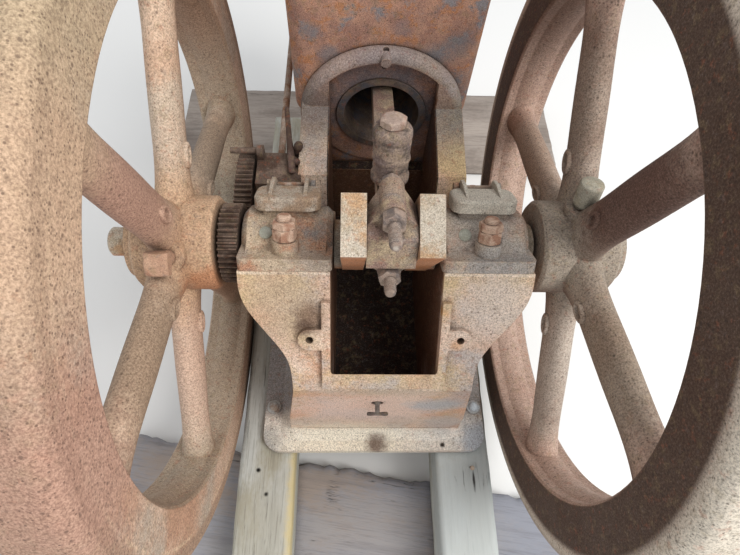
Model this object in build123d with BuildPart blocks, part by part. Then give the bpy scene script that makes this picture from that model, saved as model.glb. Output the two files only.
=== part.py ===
"""Horizontal hopper-cooled gas engine with two flywheels, on wooden skids.

X runs along the crankshaft, Y from the crank end to the cylinder head, Z up.
The boards under the skids lie on Z = 0, and the origin is under their middle.
Lengths along Y in the sizes below count from the crankshaft's axis.
"""
import os
from math import asin, cos, pi, radians, sin, sqrt, tan

from build123d import *

os.makedirs("parts", exist_ok=True)

# Clearances and fits
RUNNING_FIT = 0.05
BOLT_FIT = 0.3
SIDE_PLAY = 1.0
LID_GAP = 5.2
ROD_JOINT_GAP = 0.3

# Timber under the engine
BOARD_THICK = 38.0
BOARD_LENGTH = 900.0
FRONT_BOARD_WIDTH = 184.0
FRONT_BOARD_Y = -299.0
FRONT_BOARD_TURN = -9.0
REAR_BOARD_WIDTH = 235.0
REAR_BOARD_Y = 597.0
SKID_SECTION = 89.0
SKID_FRONT_Y = -420.0
SKID_REAR_Y = 537.0
SKID_LEFT_X = -170.0
SKID_RIGHT_X = 142.0

# Crank train
CRANK_RISE = 325.0
SHAFT_DIA = 36.0
PULLEY_SEAT_DIA = 34.9
JOURNAL_DIA = 40.0
CRANK_THROW = 101.6
CRANK_ANGLE = 114.0
CRANKPIN_DIA = 44.0
WEB_THICK = 25.4
WEB_WIDTH = 63.0
WEB_HEAD = 39.0
JOURNAL_OVERRUN = 2.0
COLLAR_DIA = 60.0
BIG_END_WIDTH = 50.8
BIG_END_HALF = 52.0
BIG_END_BACK = 26.0
ROD_LENGTH = 368.0
SHANK_THICK = 27.0
SHANK_HALF_BIG = 18.0
SHANK_HALF_SMALL = 14.0
SMALL_END_R = 27.0
SMALL_END_WIDTH = 40.0
ROD_CAP_SEAT = 20.0
ROD_CAP_FRONT = 34.0
ROD_BOLT_DIA = 12.7
ROD_BOLT_SPAN = 76.0
ROD_BOSS_R = 13.0
BIG_END_BODY = 27.0
BIG_END_FLARE = 9.0
ROD_NUT_ACROSS = 22.0
ROD_NUT_HEIGHT = 14.0
ROD_BOLT_END = 54.0
ROD_BOLT_HEAD = 10.0
CUP_REACH = 60.0
CUP_SEAT = 24.0
CUP_DIA = 43.0
CUP_HEIGHT = 64.0
CUP_CAP_HEIGHT = 12.0
CUP_CAP_ACROSS = 34.0
BORE = 127.0
PISTON_GAP = 0.2
PISTON_LENGTH = 185.0
PISTON_SKIRT = 98.0
PISTON_WALL = 10.0
PISTON_CROWN = 15.0
PISTON_BOSS_R = 24.0
RING_GROOVE = 5.0
RING_GROOVE_DEPTH = 3.0
RING_PITCH = 12.0
WRIST_PIN_DIA = 32.0

# Main bearings
BEARING_INNER_X = 62.0
BEARING_LENGTH = 105.0
CAP_TILT = 33.0
CAP_HALF = 73.0
CAP_FLANGE = 15.0
CAP_BARREL_R = 46.0
CAP_BARREL_CHAMFER = 7.0
CAP_COVE_REACH = 62.0
CAP_COVE_RISE = 26.0
CAP_PLUG_R = 7.0
CAP_PLUG_SIDE = 24.0
STUD_SPAN = 104.0
STUD_DIA = 16.0
STUD_BOSS_R = 15.0
STUD_BOSS_HEIGHT = 15.0
STUD_DEPTH = 70.0
STUD_END = 6.0
NUT_ACROSS = 24.0
NUT_HEIGHT = 14.0
LOCK_NUT_HEIGHT = 9.0
LOCK_NUT_TURN = 17.0
OIL_BOX_LENGTH = 60.0
OIL_BOX_DEPTH = 30.0
OIL_BOX_TOP = 59.0
OIL_BOX_WALL = 4.0
LID_WALL = 3.0
LID_SKIRT = 16.0
LID_CORNER = 14.0
LID_EDGE = 4.0
FIN_SPACING = 40.0
FIN_THICK = 4.5
FIN_RISE = 7.0
LID_PIN_DIA = 6.0
LID_PIN_REACH = 35.0
LID_PIN_DROP = 4.0
LID_EAR_R = 6.0
LID_EAR_THICK = 6.0

# Frame casting
FLANGE_FRONT_Y = -192.0
FRAME_REAR_Y = 400.0
FLANGE_THICK = 16.0
FLANGE_CORNER = 26.0
WALL_FRONT_Y = -160.0
WALL_TOP_DROP = 82.0
BOX_HALF_TOP = 112.0
BOX_HALF_FOOT = 134.0
FRAME_WALL = 12.0
PIT_HALF = 64.0
PIT_DEPTH = 235.0
PIT_CORNER = 4.0
CHEEK_START_Y = 78.0
POCKET_WIDTH = 20.0
POCKET_DROP = 100.0
ARCH_FRONT_Y = 203.0
ARCH_THICK = 17.0
ARCH_RADIUS = 114.0
ARCH_ROUND = 13.0
ARCH_OPENING_HALF = 72.0
ARCH_OPENING_R = 100.0
ARCH_CREST_Y = 213.0
ARCH_HOLE_DIA = 8.0
ARCH_STUD_RISE = 106.0
ARCH_STUD_DIA = 13.0
ARCH_STUD_REACH = 7.0
CHEEK_RISE = 28.0
RIM_WALL = 10.0
RIM_STAND = 8.0
RIM_START = 34.0
RIM_MARGIN = 8.0
GUARD_HOLE_SPAN = 176.0
GUARD_HOLE_DOWN = 82.0
GUARD_HOLE_DEPTH = 22.0
GUARD_EAR_R = 13.5
GUARD_HOLE_DIA = 9.0
BASE_BOLT_SIDE = 29.0
FLANGE_EDGE = 14.0
BASE_BOLT_FRONT_Y = -123.0
BASE_BOLT_REAR_Y = 345.0
BASE_BOLT_DIA = 12.0
BASE_BOLT_DEPTH = 60.0
BASE_WASHER_DIA = 22.0
BASE_WASHER_THICK = 3.0
BASE_HEAD_DIA = 15.0
BASE_HEAD_HEIGHT = 8.0
DRAIN_X = -4.0
DRAIN_DROP = 140.0
DRAIN_DIA = 16.0
DRAIN_REACH = 26.0
DRAIN_BAR = 36.0

# Cylinder, hopper and head
HOPPER_HALF = 122.0
HOPPER_TOP = 300.0
HOPPER_FRONT_Y = 223.0
HOPPER_REAR_Y = 520.0
HOPPER_WALL = 9.0
HOPPER_CORNER = 22.0
HOPPER_STEP_DROP = 2.0
HOPPER_ROUND = 16.0
HOPPER_SHOULDER = 45.0
HOPPER_FLOOR = 92.0
SADDLE_HALF = 95.0
SADDLE_DROP = 115.0
BARREL_DIA = 152.0
MOUTH_FLANGE_R = 98.0
MOUTH_HOLE_RISE = 81.0
MOUTH_HOLE_DIA = 7.0
MOUTH_HOLE_DEPTH = 8.0
CYLINDER_REAR_Y = 565.0
HEAD_FLANGE_HALF = 98.0
HEAD_FLANGE_THICK = 24.0
HEAD_CORNER = 22.0
HEAD_HALF = 68.0
HEAD_LENGTH = 72.0
HEAD_STUD_SPAN = 152.0
HEAD_STUD_DIA = 14.0
HEAD_NUT_ACROSS = 24.0
HEAD_NUT_HEIGHT = 13.0

# Flywheels
WHEEL_RADIUS = 368.0
RIM_INNER_R = 292.0
RIM_WIDTH = 66.0
RIM_CORNER = 15.0
RIM_CROWN = 5.0
RIM_VALLEY = 18.0
RIM_EDGE = 3.0
LEFT_RIM_FACE_X = -217.0
RIGHT_RIM_FACE_X = 200.0
HUB_R = 57.0
HUB_INSET = 19.0
HUB_LENGTH = 92.0
HUB_COLLAR_R = 44.0
HUB_COLLAR = 10.0
SPOKE_COUNT = 6
SPOKE_PHASE = 46.0
SPOKE_WIDTH = 54.0
SPOKE_THICK = 34.0
SHAFT_END_LEFT = 29.0
SHAFT_END_RIGHT = 12.0
SHAFT_COLLAR_DIA = 56.0
SHAFT_COLLAR_LENGTH = 8.0
HUB_BOLT_DIA = 20.0
HUB_BOLT_REACH = 100.0
HUB_BOLT_HEAD = 24.0
HUB_BOLT_HEAD_HEIGHT = 16.0
LEFT_BOLT_ANGLE = 136.0
RIGHT_BOLT_ANGLE = 76.0
HUB_BOLT_SEAT = 66.0

# Timing gears
PINION_TEETH = 40
GEAR_MODULE = 2.3
GEAR_WIDTH = 22.0
GEAR_SIDE_GAP = 4.0
CAM_GEAR_BEARING = -40.0
GEAR_BACKLASH = 0.35
GEAR_PRESSURE = 20.0
CAM_GEAR_WEB = 9.0
CAM_GEAR_RIM = 12.0
CAM_HUB_R = 24.0
CAM_STUD_DIA = 25.0
CAM_STUD_END_X = -195.0
CAM_BOSS_R = 30.0
CAM_BOSS_X = -150.0
CAM_BOSS_ROOT = 40.0

# Push rod, its bracket and the rocker
PUSH_ROD_DIA = 10.0
PUSH_ROD_X = -140.0
PUSH_ROD_DROP = 25.0
PUSH_ROD_FRONT_Y = 76.0
LATCH_FRONT_Y = 88.0
LATCH_REAR_Y = 140.0
LATCH_LOW = 44.0
LATCH_HIGH = 4.0
LATCH_ROOT_X = -108.0
LATCH_END_X = -166.0
LATCH_PIN_DIA = 8.0
LATCH_PIN_X = -201.0
LATCH_PIN_Y = 135.0
LATCH_PIN_RISE = 13.0
ROCKER_THICK = 14.0
ROCKER_WIDTH = 26.0
ROCKER_LENGTH = 150.0
ROCKER_PIVOT_X = -86.0
ROCKER_PIVOT_DIA = 14.0
ROCKER_Y = 690.0

# Places that follow from the sizes above
skid_bottom_z = BOARD_THICK
skid_top_z = skid_bottom_z + SKID_SECTION
crank_z = skid_top_z + CRANK_RISE
board_turn = radians(abs(FRONT_BOARD_TURN))
front_reach = BOARD_LENGTH / 2 * sin(board_turn) + FRONT_BOARD_WIDTH / 2 * cos(board_turn)
boards_front_y = FRONT_BOARD_Y - front_reach
boards_rear_y = REAR_BOARD_Y + REAR_BOARD_WIDTH / 2
crank_y = -(boards_front_y + boards_rear_y) / 2
crank_axis = Axis((0, crank_y, crank_z), (1, 0, 0))
throw_y = CRANK_THROW * cos(radians(CRANK_ANGLE))
throw_z = CRANK_THROW * sin(radians(CRANK_ANGLE))
rod_tilt = asin(throw_z / ROD_LENGTH)
wrist_y = throw_y + ROD_LENGTH * cos(rod_tilt)
skirt_y = wrist_y - PISTON_SKIRT
base_bolt_x = BOX_HALF_FOOT + BASE_BOLT_SIDE
flange_half = base_bolt_x + FLANGE_EDGE
bearing_outer_x = BEARING_INNER_X + BEARING_LENGTH
bearing_mid_x = BEARING_INNER_X + BEARING_LENGTH / 2
web_inner_x = BIG_END_WIDTH / 2 + SIDE_PLAY / 2
web_outer_x = web_inner_x + WEB_THICK
tilt = radians(CAP_TILT)
rod_plane = Plane(
    origin=(0, crank_y + throw_y, crank_z + throw_z),
    x_dir=(0, cos(rod_tilt), -sin(rod_tilt)),
    z_dir=(1, 0, 0),
)


def level_plane(z):
    """Horizontal plane at height z, its origin under the crankshaft's axis."""
    return Plane(origin=(0, crank_y, z), x_dir=(1, 0, 0), z_dir=(0, 0, 1))


def side_plane(x):
    """Plane across the shaft at x: its x runs along +Y, its y up, from the crank axis."""
    return Plane(origin=(x, crank_y, crank_z), x_dir=(0, 1, 0), z_dir=(1, 0, 0))


def cap_plane(x, height=0.0):
    """Plane of a bearing's split, raised along the studs by height."""
    origin = (x, crank_y + height * sin(tilt), crank_z + height * cos(tilt))
    return Plane(origin=origin, x_dir=(1, 0, 0), z_dir=(0, sin(tilt), cos(tilt)))


def cap_side_plane(x):
    """Plane across the shaft at x whose x runs to the rear in the split and y up the studs."""
    return Plane(origin=(x, crank_y, crank_z), x_dir=(0, cos(tilt), -sin(tilt)), z_dir=(1, 0, 0))


# Timber: two boards across, two skids along
with BuildPart() as cross_board_front:
    with BuildSketch(level_plane(0)):
        with Locations((0, FRONT_BOARD_Y)):
            Rectangle(BOARD_LENGTH, FRONT_BOARD_WIDTH, rotation=FRONT_BOARD_TURN)
    extrude(amount=BOARD_THICK)
    chamfer(cross_board_front.edges().filter_by(Axis.Z, reverse=True), 1.5)
cross_board_front.part.label = "cross_board_front"
export_step(cross_board_front.part, "parts/cross_board_front.step")

with BuildPart() as cross_board_rear:
    with BuildSketch(level_plane(0)):
        with Locations((0, REAR_BOARD_Y)):
            Rectangle(BOARD_LENGTH, REAR_BOARD_WIDTH)
    extrude(amount=BOARD_THICK)
    chamfer(cross_board_rear.edges().filter_by(Axis.Z, reverse=True), 1.5)
cross_board_rear.part.label = "cross_board_rear"
export_step(cross_board_rear.part, "parts/cross_board_rear.step")

for side_name, skid_x, bolt_x in (
    ("left", SKID_LEFT_X, -base_bolt_x),
    ("right", SKID_RIGHT_X, base_bolt_x),
):
    with BuildPart() as skid:
        with BuildSketch(level_plane(skid_bottom_z)):
            with Locations((skid_x, (SKID_FRONT_Y + SKID_REAR_Y) / 2)):
                Rectangle(SKID_SECTION, SKID_REAR_Y - SKID_FRONT_Y)
        extrude(amount=SKID_SECTION)
        chamfer(skid.edges().filter_by(Axis.Y), 3.0)
        # holes for the two bolts that hold the frame
        with BuildSketch(level_plane(skid_top_z)):
            for bolt_y in (BASE_BOLT_FRONT_Y, BASE_BOLT_REAR_Y):
                with Locations((bolt_x, bolt_y)):
                    Circle(BASE_BOLT_DIA / 2 + BOLT_FIT)
        extrude(amount=-BASE_BOLT_DEPTH, mode=Mode.SUBTRACT)
    skid.part.label = "skid_" + side_name
    export_step(skid.part, "parts/skid_" + side_name + ".step")

# Frame casting with its crank pit, bearing seats and arch
split_front = (-CAP_HALF * cos(tilt), CAP_HALF * sin(tilt))
split_rear = (CAP_HALF * cos(tilt), -CAP_HALF * sin(tilt))
slope_foot = (WALL_FRONT_Y, -WALL_TOP_DROP)
slope_run = slope_foot[0] - split_front[0]
slope_fall = slope_foot[1] - split_front[1]
slope_length = sqrt(slope_run**2 + slope_fall**2)
slope_plane = Plane(
    origin=(0, crank_y + split_front[0], crank_z + split_front[1]),
    x_dir=(-1, 0, 0),
    z_dir=(0, slope_fall / slope_length, -slope_run / slope_length),
)
foot_drop = skid_top_z - crank_z
cam_gear_reach = PINION_TEETH * 1.5 * GEAR_MODULE
cam_y = cam_gear_reach * cos(radians(CAM_GEAR_BEARING))
cam_z = crank_z + cam_gear_reach * sin(radians(CAM_GEAR_BEARING))

pit_front_y = WALL_FRONT_Y + FRAME_WALL
pit_mid_y = (pit_front_y + ARCH_FRONT_Y) / 2
opening_spring = sqrt(ARCH_OPENING_R**2 - ARCH_OPENING_HALF**2)
pocket_rear_y = FRAME_REAR_Y - 20 - FRAME_WALL
arch_plane = Plane(origin=(0, crank_y + ARCH_FRONT_Y, crank_z), x_dir=(1, 0, 0), z_dir=(0, -1, 0))
cam_plane = Plane(origin=(0, crank_y + cam_y, cam_z), x_dir=(0, 1, 0), z_dir=(-1, 0, 0))
drain_plane = Plane(
    origin=(DRAIN_X, crank_y + WALL_FRONT_Y, crank_z - DRAIN_DROP), x_dir=(1, 0, 0), z_dir=(0, -1, 0)
)

with BuildPart() as base_frame:
    # tapered crankcase box from the flange to the bearings
    with BuildSketch(level_plane(skid_top_z)):
        with Locations((0, (WALL_FRONT_Y + FRAME_REAR_Y) / 2 - 10)):
            Rectangle(2 * BOX_HALF_FOOT, FRAME_REAR_Y - WALL_FRONT_Y - 20)
    with BuildSketch(level_plane(crank_z + ARCH_RADIUS)):
        with Locations((0, (WALL_FRONT_Y + FRAME_REAR_Y) / 2 - 10)):
            Rectangle(2 * BOX_HALF_TOP - 16, FRAME_REAR_Y - WALL_FRONT_Y - 20)
    loft(ruled=True)
    # side outline: front wall, guard slope, split faces, cheeks and cylinder seat
    with BuildSketch(side_plane(0)) as side_outline:
        with BuildLine():
            Polyline(
                (WALL_FRONT_Y, foot_drop),
                slope_foot,
                split_front,
                split_rear,
                (split_rear[0] + 14, split_rear[1] - 6),
                (104, 4),
                (ARCH_FRONT_Y, CHEEK_RISE),
                (ARCH_FRONT_Y + ARCH_THICK, CHEEK_RISE),
                (ARCH_FRONT_Y + ARCH_THICK, -SADDLE_DROP),
                (FRAME_REAR_Y - 20, -SADDLE_DROP),
                (FRAME_REAR_Y - 20, foot_drop),
                close=True,
            )
        make_face()
    extrude(amount=BOX_HALF_FOOT + 1, both=True, mode=Mode.INTERSECT)
    # bearing arms, cut to the flare that runs down the slope
    with BuildSketch(side_plane(0)):
        with BuildLine():
            Polyline(
                slope_foot,
                split_front,
                split_rear,
                (split_rear[0] + 6, split_rear[1] - 60),
                (WALL_FRONT_Y + 60, -WALL_TOP_DROP - 90),
                close=True,
            )
        make_face()
    extrude(amount=bearing_outer_x, both=True)
    for side in (-1, 1):
        with BuildSketch(slope_plane):
            with BuildLine():
                flare = Spline(
                    (side * bearing_outer_x, 12),
                    (side * (bearing_outer_x - 18), 62),
                    (side * (bearing_outer_x - 46), 102),
                    (side * (BOX_HALF_TOP - 2), slope_length + 2),
                    tangents=((0, 1), (0, 1)),
                )
                Polyline(
                    flare @ 1,
                    (side * (BOX_HALF_FOOT + 14), slope_length + 240),
                    (side * (bearing_outer_x + 40), slope_length + 240),
                    (side * (bearing_outer_x + 40), 12),
                    flare @ 0,
                )
            make_face()
        extrude(amount=300, both=True, mode=Mode.SUBTRACT)
    # flange that stands on the skids, with its cove
    with BuildSketch(level_plane(skid_top_z)):
        with Locations((0, (FLANGE_FRONT_Y + FRAME_REAR_Y) / 2)):
            RectangleRounded(2 * flange_half, FRAME_REAR_Y - FLANGE_FRONT_Y, FLANGE_CORNER)
    extrude(amount=FLANGE_THICK)
    for cove_low, cove_high, low_spread, high_spread in ((0, 7, 17, 8), (7, 20, 8, 1)):
        for level, spread in ((cove_low, low_spread), (cove_high, high_spread)):
            with BuildSketch(level_plane(skid_top_z + FLANGE_THICK + level)):
                with Locations((0, (WALL_FRONT_Y + FRAME_REAR_Y - 30) / 2)):
                    RectangleRounded(
                        2 * (BOX_HALF_FOOT + spread) - 3,
                        FRAME_REAR_Y - WALL_FRONT_Y - 30 + 2 * spread,
                        FLANGE_CORNER - 10,
                    )
        loft(ruled=True)
    # half-round arch over the cylinder mouth, its front edge rounded
    with BuildSketch(
        Plane(origin=(0, crank_y + ARCH_FRONT_Y, crank_z), x_dir=(0, 1, 0), z_dir=(0, 0, -1))
    ):
        with BuildLine():
            Line((0, 0), (0, ARCH_RADIUS - ARCH_ROUND))
            TangentArc((0, ARCH_RADIUS - ARCH_ROUND), (ARCH_ROUND, ARCH_RADIUS), tangent=(0, 1))
            Polyline((ARCH_ROUND, ARCH_RADIUS), (ARCH_THICK, ARCH_RADIUS), (ARCH_THICK, 0), (0, 0))
        make_face()
    revolve(axis=Axis((0, crank_y, crank_z), (0, -1, 0)), revolution_arc=180)
    # guard rim that stands proud of the slope, with its two ears
    with BuildSketch(slope_plane.offset(-RIM_WALL)):
        with Locations((0, (RIM_START + slope_length - RIM_MARGIN) / 2)):
            Rectangle(2 * (PIT_HALF + RIM_WALL), slope_length - RIM_MARGIN - RIM_START)
        with Locations((-GUARD_HOLE_SPAN / 2, GUARD_HOLE_DOWN), (GUARD_HOLE_SPAN / 2, GUARD_HOLE_DOWN)):
            Circle(GUARD_EAR_R)
        with Locations((0, GUARD_HOLE_DOWN)):
            Rectangle(GUARD_HOLE_SPAN, 2 * GUARD_EAR_R)
    extrude(amount=RIM_WALL + RIM_STAND)
    # pit in which the crank turns
    with BuildSketch(level_plane(crank_z - PIT_DEPTH)):
        with Locations((0, pit_mid_y)):
            RectangleRounded(2 * PIT_HALF, ARCH_FRONT_Y - pit_front_y, PIT_CORNER)
    extrude(amount=PIT_DEPTH + ARCH_RADIUS + 40, mode=Mode.SUBTRACT)
    with BuildSketch(level_plane(crank_z - PIT_DEPTH)):
        with Locations((0, (CHEEK_START_Y + ARCH_FRONT_Y) / 2)):
            Rectangle(2 * ARCH_OPENING_HALF, ARCH_FRONT_Y - CHEEK_START_Y)
    extrude(amount=PIT_DEPTH + ARCH_RADIUS + 40, mode=Mode.SUBTRACT)
    # opening in the arch
    with BuildSketch(arch_plane):
        with BuildLine():
            Polyline(
                (-ARCH_OPENING_HALF, opening_spring),
                (-ARCH_OPENING_HALF, -SADDLE_DROP + FRAME_WALL),
                (ARCH_OPENING_HALF, -SADDLE_DROP + FRAME_WALL),
                (ARCH_OPENING_HALF, opening_spring),
            )
            ThreePointArc(
                (ARCH_OPENING_HALF, opening_spring),
                (0, ARCH_OPENING_R),
                (-ARCH_OPENING_HALF, opening_spring),
            )
        make_face()
    extrude(amount=-ARCH_THICK, both=True, mode=Mode.SUBTRACT)
    # casting pockets, open to the underside
    with BuildSketch(level_plane(skid_top_z)):
        with Locations((0, (pit_front_y + pocket_rear_y) / 2)):
            Rectangle(2 * (BOX_HALF_FOOT - FRAME_WALL - 6), pocket_rear_y - pit_front_y)
    extrude(amount=CRANK_RISE - PIT_DEPTH - FRAME_WALL, mode=Mode.SUBTRACT)
    with BuildSketch(level_plane(skid_top_z)):
        with Locations((0, (ARCH_FRONT_Y + 2 * FRAME_WALL + FRAME_REAR_Y - 44) / 2)):
            Rectangle(2 * (BOX_HALF_TOP - 14), FRAME_REAR_Y - 44 - ARCH_FRONT_Y - 2 * FRAME_WALL)
    extrude(amount=CRANK_RISE - SADDLE_DROP - FRAME_WALL, mode=Mode.SUBTRACT)
    for side in (-1, 1):
        with BuildSketch(level_plane(skid_top_z)):
            with Locations((side * (ARCH_OPENING_HALF + FRAME_WALL + POCKET_WIDTH / 2), pit_mid_y)):
                Rectangle(POCKET_WIDTH, ARCH_FRONT_Y - pit_front_y)
        extrude(amount=CRANK_RISE - POCKET_DROP, mode=Mode.SUBTRACT)
    # main bearing seats, stud holes and guard holes
    with BuildSketch(side_plane(0)):
        Circle(JOURNAL_DIA / 2 + RUNNING_FIT)
    extrude(amount=bearing_outer_x + 1, both=True, mode=Mode.SUBTRACT)
    for side in (-1, 1):
        with BuildSketch(cap_plane(side * bearing_mid_x)):
            with Locations((0, -STUD_SPAN / 2), (0, STUD_SPAN / 2)):
                Circle(STUD_DIA / 2 + RUNNING_FIT)
        extrude(amount=-STUD_DEPTH, mode=Mode.SUBTRACT)
    with BuildSketch(slope_plane.offset(RIM_STAND)):
        with Locations((-GUARD_HOLE_SPAN / 2, GUARD_HOLE_DOWN), (GUARD_HOLE_SPAN / 2, GUARD_HOLE_DOWN)):
            Circle(GUARD_HOLE_DIA / 2)
    extrude(amount=-GUARD_HOLE_DEPTH, mode=Mode.SUBTRACT)
    # boss for the cam gear's stud on the left wall
    with BuildSketch(cam_plane.offset(-CAM_BOSS_X - CAM_BOSS_ROOT)):
        Circle(CAM_BOSS_R)
    extrude(amount=CAM_BOSS_ROOT)
    with BuildSketch(cam_plane.offset(-CAM_BOSS_X - CAM_BOSS_ROOT + 10)):
        Circle(CAM_STUD_DIA / 2 + RUNNING_FIT)
    extrude(amount=CAM_BOSS_ROOT, mode=Mode.SUBTRACT)
    # skid bolt holes and drain hole
    with BuildSketch(level_plane(skid_top_z)):
        for bolt_y in (BASE_BOLT_FRONT_Y, BASE_BOLT_REAR_Y):
            with Locations((-base_bolt_x, bolt_y), (base_bolt_x, bolt_y)):
                Circle(BASE_BOLT_DIA / 2 + BOLT_FIT)
    extrude(amount=FLANGE_THICK + 1, mode=Mode.SUBTRACT)
    with BuildSketch(drain_plane.offset(-FRAME_WALL - 1)):
        Circle(DRAIN_DIA / 2 + RUNNING_FIT)
    extrude(amount=FRAME_WALL + 2, mode=Mode.SUBTRACT)
    # oil hole down through the crown of the arch, and the stud under it
    with BuildSketch(level_plane(crank_z + ARCH_RADIUS + 1)):
        with Locations((0, ARCH_CREST_Y)):
            Circle(ARCH_HOLE_DIA / 2)
    extrude(amount=-ARCH_THICK, mode=Mode.SUBTRACT)
    with BuildSketch(arch_plane.offset(-ARCH_THICK / 2)):
        with Locations((0, ARCH_STUD_RISE)):
            Circle(ARCH_STUD_DIA / 2)
    extrude(amount=ARCH_THICK / 2 + ARCH_STUD_REACH)
base_frame.part.label = "base_frame"
export_step(base_frame.part, "parts/base_frame.step")

# Main bearing caps, their studs and the oil box lids
stud_rise = CAP_FLANGE + STUD_BOSS_HEIGHT
cove_crest = sqrt(CAP_BARREL_R**2 - CAP_COVE_RISE**2)
lid_under = OIL_BOX_TOP + LID_GAP
lid_top = lid_under + LID_WALL
lid_foot = lid_top - LID_SKIRT
lid_length = OIL_BOX_LENGTH + 2 * (LID_GAP + LID_WALL)
lid_depth = OIL_BOX_DEPTH + 2 * (LID_GAP + LID_WALL)
lid_pin_height = lid_top - LID_PIN_DROP
box_corner = LID_CORNER - LID_WALL - LID_GAP
ear_x = FIN_SPACING / 2 + FIN_THICK / 2 + SIDE_PLAY + LID_EAR_THICK / 2

for side_name, side in (("left", -1), ("right", 1)):
    mid_x = side * bearing_mid_x
    start_x = mid_x - BEARING_LENGTH / 2
    with BuildPart() as cap:
        # barrel over the shaft, then the flange, stud bosses and oil box
        with BuildSketch(cap_side_plane(start_x)):
            Circle(CAP_BARREL_R)
            with Locations((0, -CAP_BARREL_R)):
                Rectangle(2 * CAP_BARREL_R + 2, 2 * CAP_BARREL_R, mode=Mode.SUBTRACT)
        extrude(amount=BEARING_LENGTH)
        chamfer(cap.edges().filter_by(GeomType.CIRCLE), CAP_BARREL_CHAMFER)
        for rear in (-1, 1):
            with BuildSketch(cap_side_plane(start_x + CAP_BARREL_CHAMFER)):
                with BuildLine():
                    Polyline(
                        (rear * cove_crest, CAP_COVE_RISE),
                        (rear * cove_crest, CAP_FLANGE / 2),
                        (rear * CAP_COVE_REACH, CAP_FLANGE / 2),
                        (rear * CAP_COVE_REACH, CAP_FLANGE),
                    )
                    ThreePointArc(
                        (rear * CAP_COVE_REACH, CAP_FLANGE),
                        (rear * (CAP_COVE_REACH + cove_crest - 3) / 2, CAP_FLANGE + 3),
                        (rear * cove_crest, CAP_COVE_RISE),
                    )
                make_face()
            extrude(amount=BEARING_LENGTH - 2 * CAP_BARREL_CHAMFER)
        with BuildSketch(cap_plane(mid_x)):
            RectangleRounded(BEARING_LENGTH, 2 * CAP_HALF, 7)
        extrude(amount=CAP_FLANGE)
        with BuildSketch(cap_plane(mid_x)):
            with Locations((0, -STUD_SPAN / 2), (0, STUD_SPAN / 2)):
                Circle(STUD_BOSS_R)
        extrude(amount=stud_rise)
        with BuildSketch(cap_plane(mid_x)):
            with Locations((-CAP_PLUG_SIDE, -STUD_SPAN / 2)):
                Circle(CAP_PLUG_R)
        extrude(amount=stud_rise)
        with BuildSketch(cap_plane(mid_x, CAP_FLANGE / 2)):
            RectangleRounded(OIL_BOX_LENGTH, OIL_BOX_DEPTH, box_corner)
        extrude(amount=OIL_BOX_TOP - CAP_FLANGE / 2)
        # ears that hold the lid's hinge pin
        for offset in (-ear_x, ear_x):
            with BuildSketch(cap_side_plane(mid_x + offset - LID_EAR_THICK / 2)):
                with Locations((LID_PIN_REACH, (lid_pin_height + CAP_FLANGE / 2) / 2)):
                    Rectangle(2 * LID_EAR_R, lid_pin_height - CAP_FLANGE / 2)
                with Locations((LID_PIN_REACH, lid_pin_height)):
                    Circle(LID_EAR_R)
                    Circle(LID_PIN_DIA / 2 + RUNNING_FIT, mode=Mode.SUBTRACT)
            extrude(amount=LID_EAR_THICK)
        # oil well, drip hole, stud holes and shaft bore
        with BuildSketch(cap_plane(mid_x, CAP_BARREL_R - 6)):
            RectangleRounded(
                OIL_BOX_LENGTH - 2 * OIL_BOX_WALL, OIL_BOX_DEPTH - 2 * OIL_BOX_WALL, box_corner - OIL_BOX_WALL + 0.5
            )
        extrude(amount=OIL_BOX_TOP, mode=Mode.SUBTRACT)
        with BuildSketch(cap_plane(mid_x)):
            Circle(3)
            with Locations((0, -STUD_SPAN / 2), (0, STUD_SPAN / 2)):
                Circle(STUD_DIA / 2 + BOLT_FIT)
        extrude(amount=CAP_BARREL_R, mode=Mode.SUBTRACT)
        with BuildSketch(side_plane(start_x - 1)):
            Circle(JOURNAL_DIA / 2 + RUNNING_FIT)
        extrude(amount=BEARING_LENGTH + 2, mode=Mode.SUBTRACT)
    cap.part.label = "bearing_cap_" + side_name
    export_step(cap.part, "parts/bearing_cap_" + side_name + ".step")

    for place_name, place in (("front", -1), ("rear", 1)):
        with BuildPart() as stud:
            with BuildSketch(cap_plane(mid_x, 1 - STUD_DEPTH)):
                with Locations((0, place * STUD_SPAN / 2)):
                    Circle(STUD_DIA / 2)
            extrude(amount=STUD_DEPTH - 1 + stud_rise + NUT_HEIGHT + LOCK_NUT_HEIGHT + STUD_END)
            with BuildSketch(cap_plane(mid_x, stud_rise)):
                with Locations((0, place * STUD_SPAN / 2)):
                    RegularPolygon(NUT_ACROSS / 2, 6, major_radius=False)
            extrude(amount=NUT_HEIGHT)
            with BuildSketch(cap_plane(mid_x, stud_rise + NUT_HEIGHT)):
                with Locations((0, place * STUD_SPAN / 2)):
                    RegularPolygon(NUT_ACROSS / 2, 6, major_radius=False, rotation=LOCK_NUT_TURN)
            extrude(amount=LOCK_NUT_HEIGHT)
        stud.part.label = "cap_stud_" + side_name + "_" + place_name
        export_step(stud.part, "parts/cap_stud_" + side_name + "_" + place_name + ".step")

    with BuildPart() as lid:
        with BuildSketch(cap_plane(mid_x, lid_foot)):
            RectangleRounded(lid_length, lid_depth, LID_CORNER)
        extrude(amount=LID_SKIRT)
        fillet(lid.edges().group_by(Axis((0, 0, 0), (0, sin(tilt), cos(tilt))))[-1], LID_EDGE)
        with BuildSketch(cap_plane(mid_x, lid_foot)):
            RectangleRounded(lid_length - 2 * LID_WALL, lid_depth - 2 * LID_WALL, LID_CORNER - LID_WALL)
        extrude(amount=LID_SKIRT - LID_WALL, mode=Mode.SUBTRACT)
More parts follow.
